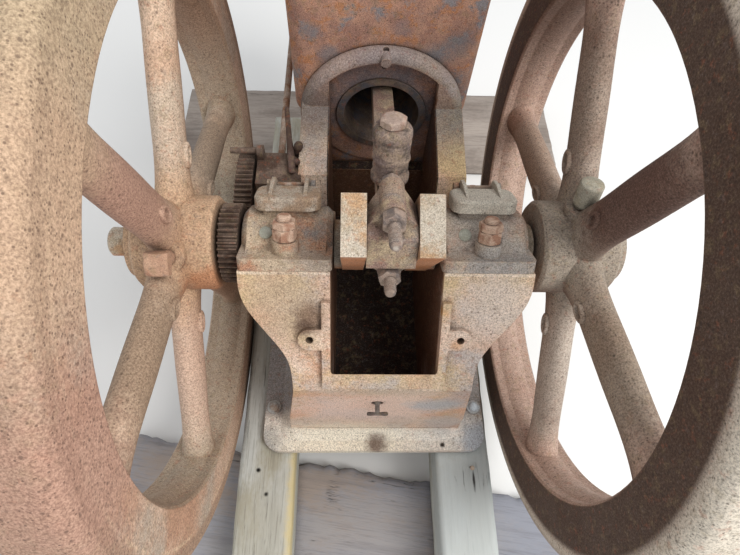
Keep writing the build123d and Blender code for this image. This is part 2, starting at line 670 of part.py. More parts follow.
        # two fins that rise to the rear and carry the hinge eyes
        for offset in (-FIN_SPACING / 2, FIN_SPACING / 2):
            with BuildSketch(cap_side_plane(mid_x + offset - FIN_THICK / 2)):
                with BuildLine():
                    Polyline(
                        (6 - lid_depth / 2, lid_top - 1),
                        (lid_depth / 2 - 8, lid_top + FIN_RISE),
                        (LID_PIN_REACH - 4, lid_top + FIN_RISE),
                        (LID_PIN_REACH + LID_EAR_R, lid_pin_height),
                        (LID_PIN_REACH - LID_EAR_R, lid_pin_height),
                        (lid_depth / 2 - 2, lid_under + 0.5),
                        (0, lid_under + 0.5),
                        close=True,
                    )
                make_face()
                with Locations((LID_PIN_REACH, lid_pin_height)):
                    Circle(LID_EAR_R)
                    Circle(LID_PIN_DIA / 2 + RUNNING_FIT, mode=Mode.SUBTRACT)
            extrude(amount=FIN_THICK)
    lid.part.label = "oil_lid_" + side_name
    export_step(lid.part, "parts/oil_lid_" + side_name + ".step")

    with BuildPart() as lid_pin:
        with BuildSketch(cap_side_plane(mid_x - ear_x - LID_EAR_THICK / 2)):
            with Locations((LID_PIN_REACH, lid_pin_height)):
                Circle(LID_PIN_DIA / 2)
        extrude(amount=2 * ear_x + LID_EAR_THICK)
    lid_pin.part.label = "lid_pin_" + side_name
    export_step(lid_pin.part, "parts/lid_pin_" + side_name + ".step")

# Crankshaft, drawn with its throw along the sketch's x
left_hub_x = LEFT_RIM_FACE_X + HUB_INSET
right_hub_x = RIGHT_RIM_FACE_X - HUB_INSET
left_end_x = left_hub_x - HUB_LENGTH - HUB_COLLAR - SHAFT_END_LEFT
right_end_x = right_hub_x + HUB_LENGTH + HUB_COLLAR + SHAFT_END_RIGHT
crank_turn = radians(CRANK_ANGLE)


def throw_plane(x):
    """Plane across the shaft at x whose x runs along the crank's throw."""
    return Plane(origin=(x, crank_y, crank_z), x_dir=(0, cos(crank_turn), sin(crank_turn)), z_dir=(1, 0, 0))


with BuildPart() as crankshaft:
    for end_x, side in ((left_end_x, -1), (right_end_x, 1)):
        with BuildSketch(throw_plane(side * web_inner_x)):
            with BuildLine():
                Polyline(
                    (0, -WEB_WIDTH / 2),
                    (CRANK_THROW + WEB_HEAD, -WEB_WIDTH / 2),
                    (CRANK_THROW + WEB_HEAD, WEB_WIDTH / 2),
                    (0, WEB_WIDTH / 2),
                )
                ThreePointArc((0, WEB_WIDTH / 2), (-WEB_WIDTH / 2, 0), (0, -WEB_WIDTH / 2))
            make_face()
        extrude(amount=side * WEB_THICK)
        with BuildSketch(throw_plane(side * web_outer_x)):
            Circle(COLLAR_DIA / 2)
        extrude(amount=side * (BEARING_INNER_X - SIDE_PLAY - web_outer_x))
        with BuildSketch(throw_plane(side * web_outer_x)):
            Circle(JOURNAL_DIA / 2)
        extrude(amount=side * (bearing_outer_x + JOURNAL_OVERRUN - web_outer_x))
        with BuildSketch(throw_plane(side * web_outer_x)):
            Circle(SHAFT_DIA / 2)
        extrude(amount=end_x - side * web_outer_x)
    # seat for a pulley on the left end
    with BuildSketch(throw_plane(left_end_x + SHAFT_END_LEFT)):
        Circle(SHAFT_DIA / 2 + 1)
        Circle(PULLEY_SEAT_DIA / 2, mode=Mode.SUBTRACT)
    extrude(amount=-SHAFT_END_LEFT, mode=Mode.SUBTRACT)
    with BuildSketch(throw_plane(-web_inner_x)):
        with Locations((CRANK_THROW, 0)):
            Circle(CRANKPIN_DIA / 2)
    extrude(amount=2 * web_inner_x)
    chamfer(crankshaft.faces().sort_by(Axis.X)[0].edges(), 2)
    chamfer(crankshaft.faces().sort_by(Axis.X)[-1].edges(), 2)
crankshaft.part.label = "crankshaft"
export_step(crankshaft.part, "parts/crankshaft.step")

with BuildPart() as shaft_collar:
    with BuildSketch(side_plane(bearing_outer_x + JOURNAL_OVERRUN)):
        Circle(SHAFT_COLLAR_DIA / 2)
        Circle(SHAFT_DIA / 2 + RUNNING_FIT, mode=Mode.SUBTRACT)
    extrude(amount=SHAFT_COLLAR_LENGTH)
shaft_collar.part.label = "shaft_collar"
export_step(shaft_collar.part, "parts/shaft_collar.step")

# Flywheels: turned rim with a low crown inside, hub, and six oval spokes that flare at both ends
rim_half = RIM_WIDTH / 2
valley_r = RIM_INNER_R + RIM_CROWN - 2
mid_spoke = (HUB_R + RIM_INNER_R) / 2
for side_name, side, rim_x, hub_x, bolt_angle in (
    ("left", -1, LEFT_RIM_FACE_X - rim_half, left_hub_x, LEFT_BOLT_ANGLE),
    ("right", 1, RIGHT_RIM_FACE_X + rim_half, right_hub_x, RIGHT_BOLT_ANGLE),
):
    section_plane = Plane(origin=(rim_x, crank_y, crank_z), x_dir=(1, 0, 0), z_dir=(0, -1, 0))
    with BuildPart() as wheel:
        with BuildSketch(section_plane):
            with BuildLine():
                left_side = Line((-rim_half, valley_r + RIM_EDGE), (-rim_half, WHEEL_RADIUS - RIM_CORNER))
                TangentArc(left_side @ 1, (RIM_CORNER - rim_half, WHEEL_RADIUS), tangent=(0, 1))
                Line((RIM_CORNER - rim_half, WHEEL_RADIUS), (rim_half - RIM_CORNER, WHEEL_RADIUS))
                TangentArc(
                    (rim_half - RIM_CORNER, WHEEL_RADIUS),
                    (rim_half, WHEEL_RADIUS - RIM_CORNER),
                    tangent=(1, 0),
                )
                Polyline(
                    (rim_half, WHEEL_RADIUS - RIM_CORNER),
                    (rim_half, valley_r + RIM_EDGE),
                    (rim_half - RIM_EDGE, valley_r),
                    (RIM_VALLEY, valley_r),
                )
                ThreePointArc((RIM_VALLEY, valley_r), (0, valley_r - RIM_CROWN), (-RIM_VALLEY, valley_r))
                Polyline(
                    (-RIM_VALLEY, valley_r),
                    (RIM_EDGE - rim_half, valley_r),
                    (-rim_half, valley_r + RIM_EDGE),
                )
            make_face()
        revolve(axis=crank_axis)
        with BuildSketch(section_plane):
            with BuildLine():
                inner_x = hub_x - rim_x
                outer_x = inner_x + side * HUB_LENGTH
                Polyline(
                    (inner_x, 0),
                    (inner_x, HUB_R - 4),
                    (inner_x + side * 4, HUB_R),
                    (outer_x - side * 5, HUB_R),
                    (outer_x, HUB_R - 5),
                    (outer_x, HUB_COLLAR_R),
                    (outer_x + side * HUB_COLLAR, HUB_COLLAR_R - 2),
                    (outer_x + side * HUB_COLLAR, 0),
                    close=True,
                )
            make_face()
        revolve(axis=crank_axis)
        for number in range(SPOKE_COUNT):
            angle = radians(SPOKE_PHASE + number * 360 / SPOKE_COUNT)
            outward = (0, cos(angle), sin(angle))
            for reach, wide, thick in (
                (HUB_R - 12, SPOKE_WIDTH * 0.66, SPOKE_THICK * 0.7),
                (HUB_R + 28, SPOKE_WIDTH * 0.52, SPOKE_THICK * 0.54),
                (mid_spoke, SPOKE_WIDTH * 0.49, SPOKE_THICK * 0.52),
                (RIM_INNER_R - 37, SPOKE_WIDTH * 0.46, SPOKE_THICK * 0.51),
                (RIM_INNER_R + 12, SPOKE_WIDTH * 0.62, SPOKE_THICK * 0.68),
            ):
                spot = (rim_x, crank_y + reach * outward[1], crank_z + reach * outward[2])
                with BuildSketch(Plane(origin=spot, x_dir=(1, 0, 0), z_dir=outward)):
                    Ellipse(thick, wide)
            loft()
        # boss and hole of the set bolt, then the shaft bore
        bolt_plane = Plane(
            origin=(hub_x + side * HUB_LENGTH / 2, crank_y, crank_z),
            x_dir=(1, 0, 0),
            z_dir=(0, cos(radians(bolt_angle)), sin(radians(bolt_angle))),
        )
        with BuildSketch(bolt_plane.offset(HUB_R / 2)):
            Circle(HUB_BOLT_DIA)
        extrude(amount=HUB_BOLT_SEAT - HUB_R / 2)
        with BuildSketch(bolt_plane):
            Circle(HUB_BOLT_DIA / 2 + RUNNING_FIT)
        extrude(amount=HUB_BOLT_REACH, mode=Mode.SUBTRACT)
        with BuildSketch(side_plane(hub_x - side)):
            Circle(SHAFT_DIA / 2 + RUNNING_FIT)
        extrude(amount=side * (HUB_LENGTH + HUB_COLLAR + 2), mode=Mode.SUBTRACT)
    wheel.part.label = "flywheel_" + side_name
    export_step(wheel.part, "parts/flywheel_" + side_name + ".step")

    with BuildPart() as hub_bolt:
        with BuildSketch(bolt_plane.offset(SHAFT_DIA / 2 + RUNNING_FIT)):
            Circle(HUB_BOLT_DIA / 2)
        extrude(amount=HUB_BOLT_REACH - SHAFT_DIA / 2 - RUNNING_FIT)
        if side < 0:
            with BuildSketch(bolt_plane.offset(HUB_BOLT_REACH - HUB_BOLT_HEAD_HEIGHT)):
                Rectangle(HUB_BOLT_HEAD, HUB_BOLT_HEAD)
            extrude(amount=HUB_BOLT_HEAD_HEIGHT)
    hub_bolt.part.label = "hub_bolt_" + side_name
    export_step(hub_bolt.part, "parts/hub_bolt_" + side_name + ".step")

# Timing gears on the left, in mesh
gear_x = -(bearing_outer_x + GEAR_SIDE_GAP)
half_tooth = pi * GEAR_MODULE / 4 - GEAR_BACKLASH
flank_lean = tan(radians(GEAR_PRESSURE))


def gear_outline(teeth, phase):
    """Corner points of a gear of straight-flanked teeth, one tooth centred on phase degrees."""
    pitch_r = teeth * GEAR_MODULE / 2
    corners = []
    for number in range(teeth):
        centre = radians(phase + number * 360 / teeth)
        for rise, hand in ((-1.25, -1), (1.0, -1), (1.0, 1), (-1.25, 1)):
            radius = pitch_r + rise * GEAR_MODULE
            half = half_tooth - rise * GEAR_MODULE * flank_lean
            turn = centre + hand * half / pitch_r
            corners.append((radius * cos(turn), radius * sin(turn)))
    return corners


with BuildPart() as crank_pinion:
    with BuildSketch(side_plane(gear_x)):
        with BuildLine():
            Polyline(*gear_outline(PINION_TEETH, CAM_GEAR_BEARING), close=True)
        make_face()
        Circle(SHAFT_DIA / 2 + RUNNING_FIT, mode=Mode.SUBTRACT)
    extrude(amount=-GEAR_WIDTH)
crank_pinion.part.label = "crank_pinion"
export_step(crank_pinion.part, "parts/crank_pinion.step")

cam_teeth = 2 * PINION_TEETH
cam_rim_r = cam_teeth * GEAR_MODULE / 2 - 1.25 * GEAR_MODULE - CAM_GEAR_RIM
with BuildPart() as cam_gear:
    with BuildSketch(Plane(origin=(gear_x, crank_y + cam_y, cam_z), x_dir=(0, 1, 0), z_dir=(1, 0, 0))):
        with BuildLine():
            Polyline(*gear_outline(cam_teeth, CAM_GEAR_BEARING + 180 + 180 / cam_teeth), close=True)
        make_face()
    extrude(amount=-GEAR_WIDTH)
    for depth in (0, GEAR_WIDTH / 2 + CAM_GEAR_WEB / 2):
        with BuildSketch(cam_plane.offset(depth - gear_x)):
            Circle(cam_rim_r)
            Circle(CAM_HUB_R, mode=Mode.SUBTRACT)
        extrude(amount=GEAR_WIDTH / 2 - CAM_GEAR_WEB / 2, mode=Mode.SUBTRACT)
    with BuildSketch(cam_plane.offset(1 - CAM_BOSS_X)):
        Circle(CAM_HUB_R)
    extrude(amount=CAM_BOSS_X - gear_x)
    with BuildSketch(cam_plane):
        Circle(CAM_STUD_DIA / 2 + RUNNING_FIT)
    extrude(amount=300, mode=Mode.SUBTRACT)
cam_gear.part.label = "cam_gear"
export_step(cam_gear.part, "parts/cam_gear.step")

with BuildPart() as cam_gear_stud:
    with BuildSketch(cam_plane.offset(-CAM_BOSS_X - CAM_BOSS_ROOT + 11)):
        Circle(CAM_STUD_DIA / 2)
    extrude(amount=CAM_BOSS_X + CAM_BOSS_ROOT - 11 - CAM_STUD_END_X)
    chamfer(cam_gear_stud.faces().sort_by(Axis.X)[0].edges(), 2)
cam_gear_stud.part.label = "cam_gear_stud"
export_step(cam_gear_stud.part, "parts/cam_gear_stud.step")

# Connecting rod, its cap, bolts and oil cup
half_joint = ROD_JOINT_GAP / 2
bolt_rise = ROD_BOLT_SPAN / 2
rod_cross_plane = Plane(origin=rod_plane.origin, x_dir=(1, 0, 0), z_dir=rod_plane.x_dir)
rod_top_plane = Plane(origin=rod_plane.origin, x_dir=(1, 0, 0), z_dir=rod_plane.y_dir)
with BuildSketch(rod_cross_plane) as big_end_outline:
    Rectangle(BIG_END_WIDTH, 2 * BIG_END_BODY)
    for place in (-1, 1):
        with BuildLine():
            Polyline(
                (-BIG_END_WIDTH / 2, place * BIG_END_BODY),
                (-ROD_BOSS_R, place * bolt_rise),
                (ROD_BOSS_R, place * bolt_rise),
                (BIG_END_WIDTH / 2, place * BIG_END_BODY),
                close=True,
            )
        make_face()
        with Locations((0, place * bolt_rise)):
            Circle(ROD_BOSS_R)

with BuildPart() as connecting_rod:
    with BuildSketch(rod_plane.offset(-BIG_END_WIDTH / 2)):
        with BuildLine():
            Polyline(
                (half_joint, -BIG_END_HALF),
                (half_joint, BIG_END_HALF),
                (BIG_END_BACK, BIG_END_HALF),
                (BIG_END_BACK, bolt_rise - 12),
                (BIG_END_BACK + 12, SHANK_HALF_BIG),
                (BIG_END_BACK + 12, -SHANK_HALF_BIG),
                (BIG_END_BACK, 12 - bolt_rise),
                (BIG_END_BACK, -BIG_END_HALF),
                close=True,
            )
        make_face()
    extrude(amount=BIG_END_WIDTH)
    # bosses round the bolts, and a back that narrows to the shank
    extrude(big_end_outline.sketch, amount=BIG_END_BACK + 20, both=True, mode=Mode.INTERSECT)
    for side in (-1, 1):
        with BuildSketch(rod_top_plane):
            with BuildLine():
                Polyline(
                    (side * (BIG_END_WIDTH / 2 + 1), BIG_END_FLARE),
                    (side * BIG_END_WIDTH / 2, BIG_END_FLARE),
                    (side * ROD_BOSS_R, BIG_END_BACK - 3),
                    (side * ROD_BOSS_R, BIG_END_BACK + 20),
                    (side * (BIG_END_WIDTH / 2 + 1), BIG_END_BACK + 20),
                    close=True,
                )
            make_face()
        extrude(amount=BIG_END_HALF + 1, both=True, mode=Mode.SUBTRACT)
    with BuildSketch(rod_plane.offset(-SHANK_THICK / 2)):
        with BuildLine():
            Polyline(
                (BIG_END_BACK, -SHANK_HALF_BIG - 6),
                (BIG_END_BACK, SHANK_HALF_BIG + 6),
                (BIG_END_BACK + 24, SHANK_HALF_BIG),
                (ROD_LENGTH, SHANK_HALF_SMALL),
                (ROD_LENGTH, -SHANK_HALF_SMALL),
                (BIG_END_BACK + 24, -SHANK_HALF_BIG),
                close=True,
            )
        make_face()
    extrude(amount=SHANK_THICK)
    with BuildSketch(rod_plane.offset(-SMALL_END_WIDTH / 2)):
        with Locations((ROD_LENGTH, 0)):
            Circle(SMALL_END_R)
    extrude(amount=SMALL_END_WIDTH)
    # seat of the oil cup on top of the shank
    cup_plane = Plane(
        origin=(rod_plane * Pos(CUP_REACH, 0, 0)).position,
        x_dir=(1, 0, 0),
        z_dir=rod_plane.y_dir,
    )
    with BuildSketch(cup_plane):
        Circle(CUP_DIA / 2 - 8)
    extrude(amount=CUP_SEAT)
    with BuildSketch(rod_plane):
        Circle(CRANKPIN_DIA / 2 + RUNNING_FIT)
        with Locations((ROD_LENGTH, 0)):
            Circle(WRIST_PIN_DIA / 2 + RUNNING_FIT)
    extrude(amount=BIG_END_WIDTH, both=True, mode=Mode.SUBTRACT)
    with BuildSketch(rod_cross_plane):
        with Locations((0, -bolt_rise), (0, bolt_rise)):
            Circle(ROD_BOLT_DIA / 2 + BOLT_FIT)
    extrude(amount=BIG_END_BACK + 1, mode=Mode.SUBTRACT)
    with BuildSketch(cup_plane.offset(CUP_SEAT)):
        Circle(CUP_DIA / 2 - 15)
    extrude(amount=-10, mode=Mode.SUBTRACT)
connecting_rod.part.label = "connecting_rod"
export_step(connecting_rod.part, "parts/connecting_rod.step")

with BuildPart() as rod_cap:
    with BuildSketch(rod_plane.offset(-BIG_END_WIDTH / 2)):
        with BuildLine():
            Polyline(
                (-half_joint, -BIG_END_HALF),
                (-ROD_CAP_SEAT, -BIG_END_HALF),
                (-ROD_CAP_SEAT, 12 - bolt_rise),
                (-ROD_CAP_FRONT, 18 - bolt_rise),
                (-ROD_CAP_FRONT, bolt_rise - 18),
                (-ROD_CAP_SEAT, bolt_rise - 12),
                (-ROD_CAP_SEAT, BIG_END_HALF),
                (-half_joint, BIG_END_HALF),
                close=True,
            )
        make_face()
    extrude(amount=BIG_END_WIDTH)
    extrude(big_end_outline.sketch, amount=ROD_CAP_FRONT + 1, both=True, mode=Mode.INTERSECT)
    with BuildSketch(rod_plane):
        Circle(CRANKPIN_DIA / 2 + RUNNING_FIT)
    extrude(amount=BIG_END_WIDTH, both=True, mode=Mode.SUBTRACT)
    with BuildSketch(rod_cross_plane):
        with Locations((0, -bolt_rise), (0, bolt_rise)):
            Circle(ROD_BOLT_DIA / 2 + BOLT_FIT)
    extrude(amount=-ROD_CAP_FRONT, mode=Mode.SUBTRACT)
rod_cap.part.label = "rod_cap"
export_step(rod_cap.part, "parts/rod_cap.step")

for place_name, place in (("upper", -1), ("lower", 1)):
    with BuildPart() as rod_bolt:
        with BuildSketch(rod_cross_plane.offset(-ROD_BOLT_END)):
            with Locations((0, place * bolt_rise)):
                Circle(ROD_BOLT_DIA / 2)
        extrude(amount=ROD_BOLT_END + BIG_END_BACK + ROD_BOLT_HEAD)
        with BuildSketch(rod_cross_plane.offset(BIG_END_BACK)):
            with Locations((0, place * bolt_rise)):
                RegularPolygon(ROD_NUT_ACROSS / 2 - 1.5, 6, major_radius=False)
        extrude(amount=ROD_BOLT_HEAD)
        with BuildSketch(rod_cross_plane.offset(-ROD_CAP_SEAT - ROD_NUT_HEIGHT)):
            with Locations((0, place * bolt_rise)):
                RegularPolygon(ROD_NUT_ACROSS / 2, 6, major_radius=False)
        extrude(amount=ROD_NUT_HEIGHT)
    rod_bolt.part.label = "rod_bolt_" + place_name
    export_step(rod_bolt.part, "parts/rod_bolt_" + place_name + ".step")

with BuildPart() as rod_oil_cup:
    with BuildSketch(cup_plane.offset(CUP_SEAT)):
        Circle(CUP_DIA / 2)
    extrude(amount=CUP_HEIGHT)
    chamfer(rod_oil_cup.edges().filter_by(GeomType.CIRCLE), 3)
    with BuildSketch(cup_plane.offset(CUP_SEAT + CUP_HEIGHT)):
        RegularPolygon(CUP_CAP_ACROSS / 2, 6, major_radius=False)
    extrude(amount=CUP_CAP_HEIGHT)
rod_oil_cup.part.label = "rod_oil_cup"
export_step(rod_oil_cup.part, "parts/rod_oil_cup.step")

# Piston and wrist pin
piston_r = BORE / 2 - PISTON_GAP


def bore_plane(y):
    """Plane across the cylinder at y: its x runs along +X, its y up."""
    return Plane(origin=(0, crank_y + y, crank_z), x_dir=(1, 0, 0), z_dir=(0, -1, 0))


with BuildPart() as piston:
    with BuildSketch(bore_plane(skirt_y)):
        Circle(piston_r)
    extrude(amount=-PISTON_LENGTH)
    with BuildSketch(bore_plane(skirt_y)):
        Circle(piston_r - PISTON_WALL)
    extrude(amount=PISTON_CROWN - PISTON_LENGTH, mode=Mode.SUBTRACT)
    for side in (-1, 1):
        with BuildSketch(side_plane(side * (SMALL_END_WIDTH / 2 + 2 * SIDE_PLAY))):
            with Locations((wrist_y, 0)):
                Circle(PISTON_BOSS_R)
        extrude(amount=side * (piston_r - PISTON_WALL - SMALL_END_WIDTH / 2))
    for number in range(3):
        with BuildSketch(bore_plane(skirt_y + PISTON_LENGTH - (number + 1) * RING_PITCH)):
            Circle(piston_r + 1)
            Circle(piston_r - RING_GROOVE_DEPTH, mode=Mode.SUBTRACT)
        extrude(amount=-RING_GROOVE, mode=Mode.SUBTRACT)
    with BuildSketch(side_plane(0)):
        with Locations((wrist_y, 0)):
            Circle(WRIST_PIN_DIA / 2 + RUNNING_FIT)
    extrude(amount=piston_r - PISTON_WALL + 3, both=True, mode=Mode.SUBTRACT)
piston.part.label = "piston"
export_step(piston.part, "parts/piston.step")

with BuildPart() as wrist_pin:
    with BuildSketch(side_plane(0)):
        with Locations((wrist_y, 0)):
            Circle(WRIST_PIN_DIA / 2)
    extrude(amount=piston_r - PISTON_WALL + 2, both=True)
wrist_pin.part.label = "wrist_pin"
export_step(wrist_pin.part, "parts/wrist_pin.step")

# Hopper and cylinder in one casting
cylinder_front_y = ARCH_FRONT_Y + ARCH_THICK
with BuildPart() as hopper:
    with BuildSketch(bore_plane(HOPPER_FRONT_Y)) as hopper_outline:
        with BuildLine():
            Polyline(
                (-HOPPER_HALF, HOPPER_TOP),
                (-HOPPER_HALF, -HOPPER_STEP_DROP),
                (-SADDLE_HALF, -HOPPER_SHOULDER),
                (-SADDLE_HALF, -SADDLE_DROP),
                (SADDLE_HALF, -SADDLE_DROP),
                (SADDLE_HALF, -HOPPER_SHOULDER),
                (HOPPER_HALF, -HOPPER_STEP_DROP),
                (HOPPER_HALF, HOPPER_TOP),
                close=True,
            )
        make_face()
        fillet(hopper_outline.vertices().group_by(Axis.Y)[2], HOPPER_ROUND)
    extrude(amount=HOPPER_FRONT_Y - HOPPER_REAR_Y)
    fillet(hopper.edges().filter_by(Axis.Z).filter_by(lambda edge: edge.length > 200), HOPPER_CORNER)
    with BuildSketch(bore_plane(HOPPER_FRONT_Y + HOPPER_WALL)):
        with BuildLine():
            Polyline(
                (HOPPER_WALL - HOPPER_HALF, HOPPER_TOP + 1),
                (HOPPER_WALL - HOPPER_HALF, HOPPER_WALL - HOPPER_STEP_DROP),
                (HOPPER_WALL - SADDLE_HALF, HOPPER_WALL - HOPPER_SHOULDER),
                (HOPPER_WALL - SADDLE_HALF, -HOPPER_FLOOR),
                (SADDLE_HALF - HOPPER_WALL, -HOPPER_FLOOR),
                (SADDLE_HALF - HOPPER_WALL, HOPPER_WALL - HOPPER_SHOULDER),
                (HOPPER_HALF - HOPPER_WALL, HOPPER_WALL - HOPPER_STEP_DROP),
                (HOPPER_HALF - HOPPER_WALL, HOPPER_TOP + 1),
                close=True,
            )
        make_face()
    extrude(amount=HOPPER_FRONT_Y - HOPPER_REAR_Y + 2 * HOPPER_WALL, mode=Mode.SUBTRACT)
    with BuildSketch(bore_plane(cylinder_front_y)):
        Circle(BARREL_DIA / 2)
    extrude(amount=cylinder_front_y - CYLINDER_REAR_Y)
    with BuildSketch(bore_plane(CYLINDER_REAR_Y)):
        RectangleRounded(2 * HEAD_FLANGE_HALF, 2 * HEAD_FLANGE_HALF, HEAD_CORNER)
    extrude(amount=HEAD_FLANGE_THICK)
    with BuildSketch(bore_plane(cylinder_front_y)):
        Circle(MOUTH_FLANGE_R)
    extrude(amount=cylinder_front_y - HOPPER_FRONT_Y - HOPPER_WALL / 2)
    with BuildSketch(bore_plane(cylinder_front_y)):
        with Locations((0, MOUTH_HOLE_RISE)):
            Circle(MOUTH_HOLE_DIA / 2)
    extrude(amount=-MOUTH_HOLE_DEPTH, mode=Mode.SUBTRACT)
    with BuildSketch(bore_plane(cylinder_front_y)):
        Circle(BORE / 2)
    extrude(amount=cylinder_front_y - CYLINDER_REAR_Y, mode=Mode.SUBTRACT)
    with BuildSketch(bore_plane(CYLINDER_REAR_Y)):
        with GridLocations(HEAD_STUD_SPAN, HEAD_STUD_SPAN, 2, 2):
            Circle(HEAD_STUD_DIA / 2 + BOLT_FIT)
    extrude(amount=HEAD_FLANGE_THICK, mode=Mode.SUBTRACT)
hopper.part.label = "hopper"
export_step(hopper.part, "parts/hopper.step")

# Cylinder head with the bracket of the rocker
head_rear_y = CYLINDER_REAR_Y + HEAD_FLANGE_THICK
with BuildPart() as cylinder_head:
    with BuildSketch(bore_plane(CYLINDER_REAR_Y)):
        RectangleRounded(2 * HEAD_FLANGE_HALF, 2 * HEAD_FLANGE_HALF, HEAD_CORNER)
    extrude(amount=-HEAD_FLANGE_THICK)
    with BuildSketch(bore_plane(CYLINDER_REAR_Y)):
        RectangleRounded(2 * HEAD_HALF, 2 * HEAD_HALF, HEAD_CORNER)
    extrude(amount=-HEAD_FLANGE_THICK - HEAD_LENGTH)
    with BuildSketch(bore_plane(CYLINDER_REAR_Y)):
        with GridLocations(HEAD_STUD_SPAN, HEAD_STUD_SPAN, 2, 2):
            Circle(HEAD_STUD_DIA / 2 + BOLT_FIT)
    extrude(amount=-HEAD_FLANGE_THICK, mode=Mode.SUBTRACT)
    with BuildSketch(level_plane(crank_z - PUSH_ROD_DROP - ROCKER_THICK / 2 - ROCKER_THICK)):
        with Locations((ROCKER_PIVOT_X, (head_rear_y + ROCKER_Y + ROCKER_WIDTH / 2) / 2)):
            Rectangle(ROCKER_WIDTH, ROCKER_Y + ROCKER_WIDTH / 2 - head_rear_y)
    extrude(amount=ROCKER_THICK)
    with BuildSketch(level_plane(crank_z - PUSH_ROD_DROP - ROCKER_THICK)):
        with Locations((ROCKER_PIVOT_X, ROCKER_Y)):
            Circle(ROCKER_PIVOT_DIA / 2)
    extrude(amount=2 * ROCKER_THICK)
cylinder_head.part.label = "cylinder_head"
export_step(cylinder_head.part, "parts/cylinder_head.step")

for place_name, across, up in (
    ("upper_left", -1, 1),
    ("upper_right", 1, 1),
    ("lower_left", -1, -1),
    ("lower_right", 1, -1),
):
    with BuildPart() as head_stud:
        with BuildSketch(bore_plane(CYLINDER_REAR_Y - HEAD_FLANGE_THICK + 1)):
            with Locations((across * HEAD_STUD_SPAN / 2, up * HEAD_STUD_SPAN / 2)):
                Circle(HEAD_STUD_DIA / 2)
        extrude(amount=1 - 2 * HEAD_FLANGE_THICK - HEAD_NUT_HEIGHT - 6)
        with BuildSketch(bore_plane(head_rear_y)):
            with Locations((across * HEAD_STUD_SPAN / 2, up * HEAD_STUD_SPAN / 2)):
                RegularPolygon(HEAD_NUT_ACROSS / 2, 6, major_radius=False)
        extrude(amount=-HEAD_NUT_HEIGHT)
    head_stud.part.label = "head_stud_" + place_name
    export_step(head_stud.part, "parts/head_stud_" + place_name + ".step")

# Push rod, its bracket and the rocker arm
push_z = crank_z - PUSH_ROD_DROP
with BuildPart() as latch_bracket:
    with BuildSketch(bore_plane(LATCH_FRONT_Y)):
        with Locations(((LATCH_ROOT_X + LATCH_END_X) / 2, (LATCH_HIGH - LATCH_LOW) / 2)):
            Rectangle(LATCH_ROOT_X - LATCH_END_X, LATCH_HIGH + LATCH_LOW)
    extrude(amount=LATCH_FRONT_Y - LATCH_REAR_Y)
    with BuildSketch(side_plane(LATCH_END_X + 8)):
        with Locations((LATCH_PIN_Y, LATCH_PIN_RISE / 2)):
            Rectangle(2 * LATCH_PIN_DIA, LATCH_PIN_RISE)
        with Locations((LATCH_PIN_Y, LATCH_PIN_RISE)):
            Circle(LATCH_PIN_DIA)
    extrude(amount=-8)
    with BuildSketch(side_plane(LATCH_END_X)):
        with Locations((LATCH_PIN_Y, LATCH_PIN_RISE)):
            Circle(LATCH_PIN_DIA / 2)
    extrude(amount=LATCH_PIN_X - LATCH_END_X)
    with BuildSketch(bore_plane(LATCH_FRONT_Y)):
        with Locations((PUSH_ROD_X, -PUSH_ROD_DROP)):
            Circle(PUSH_ROD_DIA / 2 + RUNNING_FIT)
    extrude(amount=LATCH_FRONT_Y - LATCH_REAR_Y, mode=Mode.SUBTRACT)
    add(base_frame.part, mode=Mode.SUBTRACT)
latch_bracket.part.label = "latch_bracket"
export_step(latch_bracket.part, "parts/latch_bracket.step")

push_rod_rear_y = ROCKER_Y - ROCKER_WIDTH / 2
with BuildPart() as push_rod:
    with BuildSketch(bore_plane(PUSH_ROD_FRONT_Y)):
        with Locations((PUSH_ROD_X, -PUSH_ROD_DROP)):
            Circle(PUSH_ROD_DIA / 2)
    extrude(amount=PUSH_ROD_FRONT_Y - push_rod_rear_y)
push_rod.part.label = "push_rod"
export_step(push_rod.part, "parts/push_rod.step")

with BuildPart() as rocker_arm:
    with BuildSketch(level_plane(push_z - ROCKER_THICK / 2)):
        with Locations((PUSH_ROD_X + (ROCKER_LENGTH - ROCKER_WIDTH) / 2, ROCKER_Y)):
            SlotOverall(ROCKER_LENGTH, ROCKER_WIDTH)
        with Locations((ROCKER_PIVOT_X, ROCKER_Y)):
            Circle(ROCKER_PIVOT_DIA / 2 + RUNNING_FIT, mode=Mode.SUBTRACT)
    extrude(amount=ROCKER_THICK)
rocker_arm.part.label = "rocker_arm"
export_step(rocker_arm.part, "parts/rocker_arm.step")

# Drain cock and the bolts that hold the frame on its skids
with BuildPart() as drain_stub:
    with BuildSketch(drain_plane.offset(-FRAME_WALL)):
        Circle(DRAIN_DIA / 2)
    extrude(amount=FRAME_WALL + DRAIN_REACH)
    with BuildSketch(side_plane(DRAIN_X - DRAIN_BAR / 2)):
        with Locations((WALL_FRONT_Y - DRAIN_REACH + 6, -DRAIN_DROP)):
            Circle(DRAIN_DIA / 2 - 1)
    extrude(amount=DRAIN_BAR)
drain_stub.part.label = "drain_stub"
export_step(drain_stub.part, "parts/drain_stub.step")

